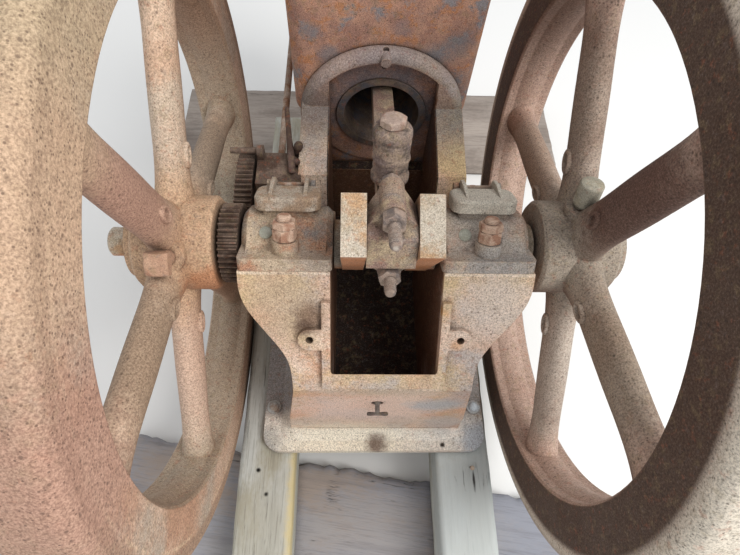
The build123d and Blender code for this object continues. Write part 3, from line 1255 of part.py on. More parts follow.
flange_top_z = skid_top_z + FLANGE_THICK
for place_name, bolt_x, bolt_y in (
    ("front_left", -base_bolt_x, BASE_BOLT_FRONT_Y),
    ("front_right", base_bolt_x, BASE_BOLT_FRONT_Y),
    ("rear_left", -base_bolt_x, BASE_BOLT_REAR_Y),
    ("rear_right", base_bolt_x, BASE_BOLT_REAR_Y),
):
    with BuildPart() as base_bolt:
        with BuildSketch(level_plane(skid_top_z - BASE_BOLT_DEPTH + 1)):
            with Locations((bolt_x, bolt_y)):
                Circle(BASE_BOLT_DIA / 2)
        extrude(amount=BASE_BOLT_DEPTH - 1 + FLANGE_THICK + BASE_WASHER_THICK)
        with BuildSketch(level_plane(flange_top_z)):
            with Locations((bolt_x, bolt_y)):
                Circle(BASE_WASHER_DIA / 2)
        extrude(amount=BASE_WASHER_THICK)
        with BuildSketch(level_plane(flange_top_z + BASE_WASHER_THICK)):
            with Locations((bolt_x, bolt_y)):
                Circle(BASE_HEAD_DIA / 2)
        extrude(amount=BASE_HEAD_HEIGHT)
        fillet(base_bolt.edges().group_by(Axis.Z)[-1], BASE_HEAD_HEIGHT - 2)
    base_bolt.part.label = "base_bolt_" + place_name
    export_step(base_bolt.part, "parts/base_bolt_" + place_name + ".step")
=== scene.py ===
"""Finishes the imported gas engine: cast iron, steel and weathered timber, fine detail, light and camera."""
import math

import bmesh
import bpy
from mathutils import Matrix, Vector, noise


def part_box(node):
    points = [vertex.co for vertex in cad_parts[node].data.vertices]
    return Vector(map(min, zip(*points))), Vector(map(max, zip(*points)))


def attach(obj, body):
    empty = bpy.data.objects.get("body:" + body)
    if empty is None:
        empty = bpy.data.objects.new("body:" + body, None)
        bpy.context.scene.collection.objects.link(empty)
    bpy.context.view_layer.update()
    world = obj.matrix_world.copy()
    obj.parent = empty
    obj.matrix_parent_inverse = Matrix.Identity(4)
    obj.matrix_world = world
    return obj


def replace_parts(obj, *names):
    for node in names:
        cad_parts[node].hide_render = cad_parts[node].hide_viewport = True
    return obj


bl_info = {
    "name": "Gas engine finish",
    "version": (1, 0, 0),
    "blender": (4, 5, 0),
    "location": "3D View > Sidebar > Engine",
    "description": "Adds the finish and the fine detail of a hopper-cooled gas engine to its packed solids",
    "category": "Object",
}

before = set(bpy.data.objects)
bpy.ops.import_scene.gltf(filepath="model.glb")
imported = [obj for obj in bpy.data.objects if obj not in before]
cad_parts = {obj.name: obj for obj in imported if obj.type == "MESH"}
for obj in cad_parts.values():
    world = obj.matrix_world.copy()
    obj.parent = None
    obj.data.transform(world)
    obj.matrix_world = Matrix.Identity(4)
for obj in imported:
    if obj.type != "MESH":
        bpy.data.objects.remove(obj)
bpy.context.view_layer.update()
MM = 0.001

# The crank's axis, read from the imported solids
WHEEL_LOW, WHEEL_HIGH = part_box("flywheel_left")
CRANK_Y = (WHEEL_LOW.y + WHEEL_HIGH.y) / 2
CRANK_Z = (WHEEL_LOW.z + WHEEL_HIGH.z) / 2

# Places on the engine, in mm from the crank's axis
CAP_TILT = math.radians(33)
CAP_UP = (0, math.sin(CAP_TILT), math.cos(CAP_TILT))
CAP_SIDES = (("left", -114.5), ("right", 114.5))
CAP_BARREL = 46
CAP_PLUG_ASIDE = -24
CAP_PLUG_LEAN = math.radians(49.5)
CAP_STUD_REACH = 52
CRANK_PIN = (-41.3, 92.8)
ROD_DIRECTION = (0.9676, -0.2522)
ROD_BOLT_REACH = 38
OIL_CUP_REACH = 60
HUB_BOLTS = {"left": (-244, math.radians(136)), "right": (227, math.radians(76))}
LUG_PLACES = (("left", -231.8, 1, math.radians(46)), ("right", 214.8, -1, math.radians(134)))
BOARD_LENGTH = 900
FRONT_BOARD_WIDTH = 184
FRONT_BOARD_TURN = -9.0

# Camera that fits the photograph: place, angles in radians, focal length and picture width in pixels
CAMERA_PLACE = (-41.1, -340.7, 552.9)
CAMERA_YAW, CAMERA_PITCH, CAMERA_ROLL = -0.0784, -1.08, 0.0793
CAMERA_FOCUS, PICTURE_WIDTH = 525.8, 740
SENSOR_WIDTH = 36.0


def place(x, y, z):
    """Point in metres from millimetres that count from the crank's axis."""
    return Vector((x * MM, CRANK_Y + y * MM, CRANK_Z + z * MM))


def linear(code):
    """Linear colour of a six-figure sRGB code; a setting's colour is linear already."""
    if not isinstance(code, str):
        return tuple(code) + (1.0,)
    parts = [int(code[i : i + 2], 16) / 255 for i in (0, 2, 4)]
    return tuple(c / 12.92 if c <= 0.04045 else ((c + 0.055) / 1.055) ** 2.4 for c in parts) + (1.0,)


# Node helpers


def wire(tree, source, target):
    """Joins two sockets, or sets the target where the source is a plain value."""
    if isinstance(source, bpy.types.NodeSocket):
        tree.links.new(source, target)
    else:
        target.default_value = source


def node(tree, kind, inputs=None, **settings):
    """New node with its settings, and its inputs wired or set by name or number."""
    made = tree.nodes.new(kind)
    for name, value in settings.items():
        setattr(made, name, value)
    for label, value in (inputs or {}).items():
        wire(tree, value, made.inputs[label])
    return made


def texture_noise(tree, coords, scale, detail, rough, distortion=0.0):
    """Noise texture's value socket."""
    inputs = {"Vector": coords, "Scale": scale, "Detail": detail, "Roughness": rough, "Distortion": distortion}
    return node(tree, "ShaderNodeTexNoise", inputs).outputs["Fac"]


def maths(tree, operation, first, second=0.0, clamp=False):
    """Result socket of a Math node."""
    return node(tree, "ShaderNodeMath", {0: first, 1: second}, operation=operation, use_clamp=clamp).outputs[0]


def times(tree, *values):
    """Product of sockets and numbers."""
    result = values[0]
    for value in values[1:]:
        result = maths(tree, "MULTIPLY", result, value)
    return result


def inverse(tree, mask):
    """What a mask leaves free."""
    return maths(tree, "SUBTRACT", 1.0, mask)


def ragged_by(tree, value, torn, reach):
    """Value shifted by a noise that swings about its middle, times a reach."""
    return maths(tree, "ADD", value, times(tree, maths(tree, "SUBTRACT", torn, 0.5), reach))


def vectors(tree, operation, first, second=(0, 0, 0)):
    """Result socket of a Vector Math node."""
    made = node(tree, "ShaderNodeVectorMath", {0: first, 1: second}, operation=operation)
    return made.outputs["Value" if operation in ("LENGTH", "DOT_PRODUCT") else "Vector"]


def step_between(tree, value, low, high):
    """Smooth change from 0 at low to 1 at high; low may be the larger of the two."""
    inputs = {"Value": value, "From Min": low, "From Max": high}
    return node(tree, "ShaderNodeMapRange", inputs, interpolation_type="SMOOTHSTEP").outputs["Result"]


def remapped(tree, coords, **values):
    """Coordinates through a Mapping node with a Location, Rotation or Scale."""
    return node(tree, "ShaderNodeMapping", {"Vector": coords, **values}).outputs[0]


def blend_colour(tree, amount, first, second, kind="MIX"):
    """Result socket of a colour Mix node."""
    inputs = {"Factor": amount, "A": first, "B": second}
    return node(tree, "ShaderNodeMix", inputs, data_type="RGBA", blend_type=kind).outputs["Result"]


def tint(tree, colour, mask, code, strength=None):
    """Lays a colour code over a colour by a mask, which a strength may weaken."""
    amount = mask if strength is None else times(tree, mask, strength)
    return blend_colour(tree, amount, colour, linear(code))


# Shared shader groups; each function fills one group and returns what it puts out


def cast_grain(tree, given):
    """Sand-cast or pitted skin: fine grain over slow lumps, as a height, with dark specks and pale grains as masks."""
    coords, grain = given["Vector"], given["Grain"]
    fine = texture_noise(tree, coords, times(tree, grain, 1.25), 4.0, 0.75)
    lumps = texture_noise(tree, coords, times(tree, grain, 0.12), 4.0, 0.6)
    density = texture_noise(tree, coords, 24.0, 4.0, 0.6)
    specks = None
    for share, rare, reach in ((0.75, 0.62, 0.40), (0.36, 0.80, 0.36)):
        cells = node(tree, "ShaderNodeTexVoronoi", {"Vector": coords, "Scale": times(tree, grain, share)})
        chosen = node(tree, "ShaderNodeSeparateColor", {0: cells.outputs["Color"]}).outputs[0]
        chance = maths(tree, "ADD", chosen, times(tree, density, 0.9))
        present = step_between(tree, chance, rare + 0.42, rare + 0.50)
        apart = maths(tree, "ADD", cells.outputs["Distance"], times(tree, fine, 0.5))
        spot = times(tree, inverse(tree, step_between(tree, apart, reach, reach + 0.16)), present)
        specks = spot if specks is None else maths(tree, "MAXIMUM", specks, spot)
    dust = times(tree, step_between(tree, fine, 0.5, 0.6), 0.6)
    pale = inverse(tree, step_between(tree, fine, 0.39, 0.48))
    height = maths(tree, "ADD", lumps, times(tree, fine, 0.55))
    return {
        "Height": maths(tree, "SUBTRACT", height, times(tree, specks, 0.35)),
        "Dark": times(tree, maths(tree, "MAXIMUM", specks, dust), given["Pits"]),
        "Light": times(tree, pale, given["Pale"]),
    }


def patches(tree, given):
    """Uneven patches, from soft clouds to flaked rust with crisp ragged borders."""
    slow = texture_noise(tree, given["Vector"], given["Scale"], 2.0, 0.5)
    torn = texture_noise(tree, given["Vector"], 210.0, 4.0, 0.65)
    slow = ragged_by(tree, slow, torn, given["Ragged"])
    edge = maths(tree, "SUBTRACT", 0.72, times(tree, given["Cover"], 0.44))
    low, high = [maths(tree, sign, edge, given["Softness"]) for sign in ("SUBTRACT", "ADD")]
    return {"Mask": step_between(tree, slow, low, high)}


def edge_wear(tree, given):
    """Worn edges, from the difference between the rounded and the plain normal, broken up by noise."""
    rounded = node(tree, "ShaderNodeBevel", {"Radius": given["Radius"]}, samples=4).outputs["Normal"]
    plain = tree.nodes.new("ShaderNodeNewGeometry").outputs["Normal"]
    bent = inverse(tree, vectors(tree, "DOT_PRODUCT", rounded, plain))
    broken = texture_noise(tree, given["Vector"], 160.0, 4.0, 0.7)
    bent = times(tree, step_between(tree, bent, 0.01, 0.14), step_between(tree, broken, 0.36, 0.6))
    return {"Mask": maths(tree, "MULTIPLY", bent, given["Amount"], True), "Normal": rounded}


def hollow_dirt_and_shade(tree, given):
    """Dirt together with painted shade that gathers in corners, from how closed in a point is, and noise."""
    near = node(tree, "ShaderNodeAmbientOcclusion", {"Distance": given["Reach"]}, samples=4, only_local=False)
    torn = texture_noise(tree, given["Vector"], 120.0, 5.0, 0.65)
    closed = ragged_by(tree, inverse(tree, near.outputs["AO"]), torn, 0.6)
    return {"Mask": maths(tree, "MULTIPLY", step_between(tree, closed, 0.25, 0.8), given["Amount"], True)}


def stain_and_light_spot(tree, given):
    """Spot with a ragged border round a point in object coordinates, stretched by a scale on each axis; it paints
    stains, and also painted shade and painted light.
    """
    apart = vectors(tree, "SUBTRACT", given["Vector"], given["Centre"])
    length = vectors(tree, "LENGTH", vectors(tree, "DIVIDE", apart, given["Shape"]))
    torn = texture_noise(tree, given["Vector"], 70.0, 6.0, 0.7)
    share = ragged_by(tree, maths(tree, "DIVIDE", length, given["Radius"]), torn, 1.0)
    mask = inverse(tree, step_between(tree, share, 0.3, 1.1))
    return {"Mask": maths(tree, "MULTIPLY", mask, given["Strength"], True)}


def crank_places(tree, given):
    """Distance from the crank's axis, and height over a plane given by a point and a normal."""
    moved = vectors(tree, "SUBTRACT", given["Vector"], (0, CRANK_Y, CRANK_Z))
    apart = vectors(tree, "SUBTRACT", given["Vector"], given["Point"])
    return {
        "Radius": vectors(tree, "LENGTH", vectors(tree, "MULTIPLY", moved, (0, 1, 1))),
        "Height": vectors(tree, "DOT_PRODUCT", apart, given["Normal"]),
    }


# Inputs and outputs of each group; an input without a start value, and Normal, are vectors
GROUP_SOCKETS = {
    cast_grain: ({"Vector": None, "Grain": 420.0, "Pits": 0.5, "Pale": 0.3}, ("Height", "Dark", "Light")),
    patches: ({"Vector": None, "Scale": 12.0, "Cover": 0.5, "Softness": 0.1, "Ragged": 0.3}, ("Mask",)),
    edge_wear: ({"Vector": None, "Radius": 0.002, "Amount": 1.0}, ("Mask", "Normal")),
    hollow_dirt_and_shade: ({"Vector": None, "Reach": 0.012, "Amount": 1.0}, ("Mask",)),
    stain_and_light_spot: ({"Vector": None, "Centre": None, "Shape": None, "Radius": 0.03, "Strength": 1.0}, ("Mask",)),
    crank_places: ({"Vector": None, "Point": None, "Normal": None}, ("Radius", "Height")),
}
GROUPS = {}


def shader_group(fill):
    """Builds the shader node group that a function fills."""
    tree = bpy.data.node_groups.new(fill.__name__, "ShaderNodeTree")
    inputs, outputs = GROUP_SOCKETS[fill]
    for label, start in inputs.items():
        kind = "NodeSocketVector" if start is None else "NodeSocketFloat"
        socket = tree.interface.new_socket(name=label, in_out="INPUT", socket_type=kind)
        if start is not None:
            socket.default_value = start
    for label in outputs:
        kind = "NodeSocketVector" if label == "Normal" else "NodeSocketFloat"
        tree.interface.new_socket(name=label, in_out="OUTPUT", socket_type=kind)
    given = tree.nodes.new("NodeGroupInput").outputs
    node(tree, "NodeGroupOutput", fill(tree, given))
    return tree


def use_group(tree, fill, **values):
    """Places a shared group, built at its first use, and wires or sets its inputs."""
    if fill not in GROUPS:
        GROUPS[fill] = shader_group(fill)
    return node(tree, "ShaderNodeGroup", values, node_tree=GROUPS[fill])


# Point and normal of the planes from which regions are measured; r is the distance from the crank's axis
ORIGIN = (0, 0, 0)
PLANES = {
    "x": (ORIGIN, (1, 0, 0)),
    "y": (ORIGIN, (0, 1, 0)),
    "z": (ORIGIN, (0, 0, 1)),
    "r": (ORIGIN, (0, 0, 1)),
    "seat": (ORIGIN, CAP_UP),
    "slope": ((0, -61.2, 39.8), (0, -0.777, 0.63)),
}


def band_mask(tree, coords, bands):
    """Product of bands; each names what is measured, in mm, where it is 0 and where it is 1."""
    masks = []
    for measure, none, full in bands:
        if measure == "noise":
            masks.append(step_between(tree, texture_noise(tree, coords, 40.0, 4.0, 0.7), none, full))
            continue
        point, normal = PLANES[measure]
        found = use_group(tree, crank_places, Vector=coords, Point=tuple(place(*point)), Normal=normal)
        value = found.outputs["Radius" if measure == "r" else "Height"]
        masks.append(step_between(tree, value, none * MM, full * MM))
    return times(tree, *masks)


# Regions of the castings: colour code, strength and bands

# Dark cheeks under the arch, its crown, pale crest, dusty flange, side walls, a painted highlight along the cap joints
# and a near-black pit that is painted shade
FRAME_REGIONS = (
    ("7d7a70", 0.75, ("y", 110, 180), ("z", 90, 20)),
    ("9c8f8b", 0.85, ("y", 180, 200), ("z", 20, 80)),
    ("e0d0bd", 0.55, ("y", -146, -156), ("z", -278, -252), ("z", -210, -245)),
    ("e0dcd4", 0.8, ("z", -281, -299)),
    ("7d7a7b", 0.8, ("y", -150, -120), ("z", -170, -270)),
    # Bright thin line just below the caps' seat: painted highlight along the cap joints
    ("ecdcc8", 0.6, ("seat", -4.5, -2.5), ("y", -30, -40), ("y", -94, -90)),
    # Near-black inside the crank pit: painted shade
    ("1f1411", 1.0, ("slope", -3, -12), ("x", -74.5, -73.5), ("x", 74.5, 73.5), ("y", -149, -145),
     ("y", 223, 221), ("z", -239, -237), ("z", 60, 40)),
)

# Pinkish inside of the rim, dark side face that is painted shade, pale tread and grey hub
RIGHT_WHEEL_REGIONS = (
    ("bd9f8f", 0.75, ("r", 230, 280), ("r", 298.5, 297)),
    # Dark side face towards the engine: painted shade
    ("38291f", 0.95, ("r", 296.5, 298), ("r", 351, 341)),
    ("d6ccbc", 0.9, ("r", 341, 352)),
    ("9b9183", 0.8, ("r", 110, 62)),
)

# Olive-tan inside of the rim, yellowish tread, a broken painted highlight along the lip, spokes lightened as painted
# light and warm hub
LEFT_WHEEL_REGIONS = (
    ("a39480", 0.75, ("r", 250, 285), ("r", 298.5, 297)),
    ("9a816d", 0.85, ("r", 337, 345)),
    # Bright broken band on the rim's lip: painted highlight
    ("dcc2a4", 0.7, ("r", 334.5, 336), ("r", 339.5, 338), ("noise", 0.4, 0.56)),
    # Lighter spokes: painted light
    ("d2b79e", 0.5, ("r", 75, 130), ("r", 285, 250)),
    ("bb9a7a", 0.75, ("r", 120, 60)),
)

# Cover, softness and raggedness of a patch that names none
USUAL_PATCH = (0.5, 0.1, 0.4)

# Blotches on every casting: colour code, noise scale, where they begin and strength
BLOTCHES = (("8a7a58", 95.0, 0.53, 0.30), ("a0583a", 120.0, 0.56, 0.32), ("6f6866", 150.0, 0.56, 0.30))


def paint_patches(tree, coords, tones, start, scale=(1, 1, 1)):
    """Base tone under patches; a patch is colour code and scale, then cover, softness and raggedness if not usual."""
    colour = linear(tones[0])
    for number, patch in enumerate(tones[1:]):
        code, size, share, softness, ragged = patch + USUAL_PATCH[len(patch) - 2 :]
        apart = Vector(start) + number * Vector((2.3, -1.7, 0.9))
        moved = remapped(tree, coords, Location=apart, Scale=scale)
        spots = use_group(tree, patches, Vector=moved, Scale=size, Cover=share, Softness=softness, Ragged=ragged)
        colour = tint(tree, colour, spots.outputs[0], code)
    return colour


def paint_stains_and_light(tree, coords, colour, stains_and_painted_light):
    """Lays stains, painted shade and painted light over a colour; each is centre, radius, strength, colour code and an
    optional shape.
    """
    for centre, radius, strength, code, *shape in stains_and_painted_light:
        spot = use_group(
            tree, stain_and_light_spot, Vector=coords, Centre=tuple(place(*centre)), Shape=shape[0] if shape else (1, 1, 1),
            Radius=radius * MM, Strength=strength,
        )
        colour = tint(tree, colour, spot.outputs[0], code)
    return colour


def mottle(tree, coords, colour, strength):
    """Small olive, rust and grey blotches, a few mm wide, that every casting shows."""
    for number, (code, scale, low, amount) in enumerate(BLOTCHES):
        moved = remapped(tree, coords, Location=(1.3 * number, 4.1 + number, 2.2))
        blotch = step_between(tree, texture_noise(tree, moved, scale, 4.0, 0.65), low, low + 0.12)
        colour = tint(tree, colour, blotch, code, amount * strength)
    return colour


def new_finish(name):
    """New material, its node tree and its object coordinates."""
    material = bpy.data.materials.new(name)
    material.use_nodes = True
    tree = material.node_tree
    return material, tree, tree.nodes.new("ShaderNodeTexCoord").outputs["Object"]


def wire_shader(tree, colour, rough, specular, height, bump, depth, normal=None):
    """Wires or sets the material's Principled shader: colour, roughness, specular level and relief."""
    inputs = {"Strength": bump, "Distance": depth, "Height": height}
    if normal:
        inputs["Normal"] = normal
    relief = node(tree, "ShaderNodeBump", inputs).outputs["Normal"]
    settings = {"Base Color": colour, "Roughness": rough, "Specular IOR Level": specular, "Normal": relief}
    for label, value in settings.items():
        wire(tree, value, tree.nodes["Principled BSDF"].inputs[label])


def iron_finish(
    name, tones, pit, pale, grain, pits, pales, edge, edge_amount=0.6, edge_radius=1.6, dirt_and_shade=0.75,
    dirt_and_shade_code="2c211c", dirt_and_shade_reach=16.0, bump=0.6, rough=0.82, under=None, regions=(), stains_and_painted_light=(), blotches=1.0,
):
    """Procedural material of weathered iron; lengths in mm, tones as for paint_patches."""
    material, tree, coords = new_finish(name)
    colour = paint_patches(tree, coords, tones, (3.7, 1.9, 5.3))
    for code, strength, *bands in regions:
        colour = tint(tree, colour, band_mask(tree, coords, bands), code, strength)
    colour = mottle(tree, coords, colour, blotches)
    # Faces that look down take a darker, warmer colour: painted shade
    if under:
        normal = tree.nodes.new("ShaderNodeNewGeometry").outputs["Normal"]
        upward = node(tree, "ShaderNodeSeparateXYZ", {0: normal}).outputs["Z"]
        colour = tint(tree, colour, step_between(tree, upward, 0.25, -0.45), under, 0.85)
    colour = paint_stains_and_light(tree, coords, colour, stains_and_painted_light)
    grains = use_group(tree, cast_grain, Vector=coords, Grain=grain, Pits=pits, Pale=pales)
    lighter = blend_colour(tree, 1.0, colour, (1.6, 1.6, 1.6, 1.0), "MULTIPLY")
    colour = blend_colour(tree, grains.outputs["Light"], colour, tint(tree, lighter, 0.15, pale))
    colour = blend_colour(tree, grains.outputs["Dark"], colour, tint(tree, colour, 0.72, pit))
    worn = use_group(tree, edge_wear, Vector=coords, Radius=edge_radius * MM, Amount=edge_amount)
    colour = tint(tree, colour, worn.outputs["Mask"], edge)
    # Darkening in corners and hollows: dirt together with painted shade
    dirt_and_shade_node = use_group(tree, hollow_dirt_and_shade, Vector=coords, Reach=dirt_and_shade_reach * MM, Amount=dirt_and_shade)
    colour = tint(tree, colour, dirt_and_shade_node.outputs[0], dirt_and_shade_code)
    height = grains.outputs["Height"]
    roughness = maths(tree, "ADD", times(tree, height, 0.25), rough - 0.2, True)
    wire_shader(tree, colour, roughness, 0.3, height, bump, 0.0011, worn.outputs["Normal"])
    return material


def wood_finish(name, tones, dark, along, fibre, turn=0.0, crack=0.6, stains_and_painted_light=()):
    """Weathered timber whose grain runs along one axis, turned by an angle about Z; tones as for iron."""
    material, tree, coords = new_finish(name)
    turned = remapped(tree, coords, Rotation=(0, 0, turn))
    fine, broad = [(1, share, 1) if along == "Y" else (share, 1, 1) for share in (0.05, 0.4)]
    grain = remapped(tree, turned, Scale=fine)
    colour = paint_patches(tree, turned, tones, (1.7, 0.9, 2.3), broad)
    rings = texture_noise(tree, grain, 90.0, 3.0, 0.5, 0.4)
    fibres = texture_noise(tree, grain, 420.0, 3.0, 0.7)
    cracks = texture_noise(tree, grain, 55.0, 4.0, 0.55, 0.2)
    split = maths(tree, "ABSOLUTE", maths(tree, "SUBTRACT", cracks, 0.5))
    where = step_between(tree, texture_noise(tree, coords, 11.0, 3.0, 0.5), 0.53, 0.62)
    split = times(tree, step_between(tree, split, 0.006, 0.001), where)
    for value, high in ((rings, 0.72), (fibres, 0.66)):
        colour = tint(tree, colour, step_between(tree, value, 0.5, high), dark, fibre)
    colour = paint_stains_and_light(tree, coords, colour, stains_and_painted_light)
    colour = tint(tree, colour, split, "1c1714", crack)
    # Darkening in corners and hollows: dirt together with painted shade
    dirt_and_shade_node = use_group(tree, hollow_dirt_and_shade, Vector=coords, Reach=0.03, Amount=0.6)
    colour = tint(tree, colour, dirt_and_shade_node.outputs[0], "3a332e")
    height = maths(tree, "SUBTRACT", times(tree, fibres, 0.6), times(tree, split, 0.9))
    height = maths(tree, "ADD", height, times(tree, rings, 0.7))
    wire_shader(tree, colour, 0.9, 0.2, height, 0.6, 0.0014)
    return material


# Mesh helpers


def axes_at(point, normal, along=(1, 0, 0)):
    """Matrix whose origin is a place in mm from the crank's axis, whose z is normal and whose x is near along."""
    up = Vector(normal).normalized()
    side = (Vector(along) - up * Vector(along).dot(up)).normalized()
    turn = Matrix((side, up.cross(side), up)).transposed().to_4x4()
    return Matrix.Translation(place(*point)) @ turn


def linked_object(name, shape, smooth):
    """Turns a bmesh into an object in the scene, its faces outward."""
    bmesh.ops.recalc_face_normals(shape, faces=shape.faces)
    for face in shape.faces:
        face.smooth = smooth
    mesh = bpy.data.meshes.new(name)
    shape.to_mesh(mesh)
    shape.free()
    made = bpy.data.objects.new(name, mesh)
    bpy.context.scene.collection.objects.link(made)
    return made


def add_piece(name, shape, material, smooth=False):
    """Makes a finished piece of a bmesh: its material and the root body to ride on."""
    piece = linked_object(name, shape, smooth)
    piece.data.materials.append(material)
    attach(piece, "root")
    return piece


def stack_rings(shape, matrix, rings):
    """Closed skin through rings of as many points each, given in mm in the matrix's axes."""
    made = [[shape.verts.new(matrix @ (Vector(point) * MM)) for point in ring] for ring in rings]
    count = len(made[0])
    for low, high in zip(made, made[1:]):
        for i in range(count):
            j = (i + 1) % count
            shape.faces.new((low[i], low[j], high[j], high[i]))
    shape.faces.new(list(reversed(made[0])))
    shape.faces.new(made[-1])


def round_ring(radius, height, count=40, oval=1.0, ripple=None):
    """Circle or oval of points at a height; ripple may add to the radius by angle and height."""
    ring = []
    for i in range(count):
        angle = 2 * math.pi * i / count
        reach = radius + (ripple(angle, height) if ripple else 0)
        ring.append((reach * math.cos(angle), oval * reach * math.sin(angle), height))
    return ring


def flat_ring(across, sides, limit, height, turn, count=72):
    """Polygon of points with corners cut back to a limit radius, as on a turned nut."""
    ring = []
    sector = 2 * math.pi / sides
    for i in range(count):
        angle = 2 * math.pi * i / count
        local = (angle + sector / 2) % sector - sector / 2
        reach = min(across / 2 / math.cos(sector / 2 - abs(local)), limit)
        ring.append((reach * math.cos(angle + turn), reach * math.sin(angle + turn), height))
    return ring


def add_nut(shape, matrix, across, base, height, turn=0.0, sides=6, bevel=0.11):
    """Nut or bolt head whose corners are turned down at both ends."""
    corner = across / 2 / math.cos(math.pi / sides)
    slope = math.tan(math.radians(30))
    depth = bevel * across / 2
    start = corner - depth / slope
    steps = (0.0, 0.34, 0.67, 1.0)
    rings = [flat_ring(across, sides, start + share * depth / slope, base + share * depth, turn) for share in steps]
    top = base + height
    for share in reversed(steps):
        rings.append(flat_ring(across, sides, start + share * depth / slope, top - share * depth, turn))
    stack_rings(shape, matrix, rings)


def add_turned(shape, matrix, profile, count=40, oval=1.0, ripple=None):
    """Turned piece from (radius, height) pairs."""
    stack_rings(shape, matrix, [round_ring(r, h, count, oval, ripple) for r, h in profile])


def open_tree(name, sockets):
    """Geometry Nodes tree with the given inputs, a Material input and one geometry output."""
    tree = bpy.data.node_groups.new(name, "GeometryNodeTree")
    for label, kind, start in (*sockets, ("Material", "Material", None)):
        socket = tree.interface.new_socket(name=label, in_out="INPUT", socket_type="NodeSocket" + kind)
        if start is not None:
            socket.default_value = start
    tree.interface.new_socket(name="Geometry", in_out="OUTPUT", socket_type="NodeSocketGeometry")
    return tree, tree.nodes.new("NodeGroupInput").outputs


def close_tree(tree, given, geometry):
    """Ends a tree in Realize Instances and Set Material; returns it and its inputs' identifiers by name."""
    real = node(tree, "GeometryNodeRealizeInstances", {0: geometry}).outputs[0]
    painted = node(tree, "GeometryNodeSetMaterial", {"Geometry": real, "Material": given["Material"]})
    node(tree, "NodeGroupOutput", {0: painted.outputs[0]})
    return tree, {item.name: item.identifier for item in tree.interface.items_tree if item.in_out == "INPUT"}


def thread_tree():
    """Geometry Nodes tree of a screw thread: a helix with a small round section, of a radius, pitch and length."""
    starts = {"Radius": 0.006, "Pitch": 0.0018, "Length": 0.012, "Ridge": 0.0006}
    tree, given = open_tree("screw_thread", [(label, "Float", start) for label, start in starts.items()])
    helix = node(tree, "GeometryNodeCurveSpiral", {
        "Resolution": 28,
        "Rotations": maths(tree, "DIVIDE", given["Length"], given["Pitch"]),
        "Start Radius": given["Radius"],
        "End Radius": given["Radius"],
        "Height": given["Length"],
    })
    section = node(tree, "GeometryNodeCurvePrimitiveCircle", {"Resolution": 6, "Radius": given["Ridge"]})
    swept = node(tree, "GeometryNodeCurveToMesh", {
        "Curve": helix.outputs[0], "Profile Curve": section.outputs[0], "Fill Caps": True,
    })
    return close_tree(tree, given, swept.outputs[0])


def lug_tree():
    """Geometry Nodes tree that sets one small boss on every spoke of a wheel, by count, radius and first angle."""
    sockets = (("Count", "Int", 6), ("Radius", "Float", 0.1), ("Phase", "Float", 0.0), ("Boss", "Object", None))
    tree, given = open_tree("spoke_lugs", sockets)
    index = tree.nodes.new("GeometryNodeInputIndex").outputs[0]
    share = maths(tree, "DIVIDE", index, given["Count"])
    inputs = {0: share, 1: 2 * math.pi, 2: given["Phase"]}
    angle = node(tree, "ShaderNodeMath", inputs, operation="MULTIPLY_ADD").outputs[0]
    outward = node(tree, "ShaderNodeCombineXYZ", {"X": given["Radius"]}).outputs[0]
    spun = node(tree, "ShaderNodeVectorRotate", rotation_type="Z_AXIS", inputs={"Vector": outward, "Angle": angle})
    points = node(tree, "GeometryNodePoints", {"Count": given["Count"], "Position": spun.outputs[0]})
    boss = node(tree, "GeometryNodeObjectInfo", {"Object": given["Boss"]})
    placed = node(tree, "GeometryNodeInstanceOnPoints", {
        "Points": points.outputs[0],
        "Instance": boss.outputs["Geometry"],
        "Rotation": node(tree, "ShaderNodeCombineXYZ", {"Z": angle}).outputs[0],
    })
    return close_tree(tree, given, placed.outputs[0])


TREES = {}


def grown_mesh(kind, **values):
    """Plain mesh that a Geometry Nodes tree makes from the given inputs."""
    if kind not in TREES:
        TREES[kind] = {"thread": thread_tree, "lugs": lug_tree}[kind]()
    tree, sockets = TREES[kind]
    carrier = bpy.data.objects.new("carrier", bpy.data.meshes.new("carrier"))
    bpy.context.scene.collection.objects.link(carrier)
    modifier = carrier.modifiers.new("grown", "NODES")
    modifier.node_group = tree
    for label, value in values.items():
        modifier[sockets[label]] = value
    depsgraph = bpy.context.evaluated_depsgraph_get()
    mesh = bpy.data.meshes.new_from_object(carrier.evaluated_get(depsgraph))
    carrier.modifiers.remove(modifier)
    bpy.data.objects.remove(carrier)
    return mesh


def add_thread(shape, matrix, radius, base, length, material, pitch):
    """Adds the ridge of a screw thread to a bmesh."""
    mesh = grown_mesh(
        "thread", Radius=radius * MM, Pitch=pitch * MM, Length=length * MM, Ridge=0.32 * pitch * MM, Material=material
    )
    mesh.transform(matrix @ Matrix.Translation((0, 0, base * MM)))
    shape.from_mesh(mesh)


def box_skin(size, cells):
    """Points and faces of a box's skin, centred, cut into cells along each side."""
    places = {}
    points = []
    faces = []

    def point(i, j, k):
        if (i, j, k) not in places:
            places[i, j, k] = len(points)
            points.append(Vector((n / c - 0.5) * s for n, c, s in zip((i, j, k), cells, size)))
        return places[i, j, k]

    for axis in range(3):
        first, second = [a for a in range(3) if a != axis]
        for level in (0, cells[axis]):
            for a in range(cells[first]):
                for b in range(cells[second]):
                    corner = []
                    for da, db in ((0, 0), (1, 0), (1, 1), (0, 1)):
                        where = [0, 0, 0]
                        where[axis] = level
                        where[first] = a + da
                        where[second] = b + db
                        corner.append(point(*where))
                    faces.append(corner)
    return points, faces


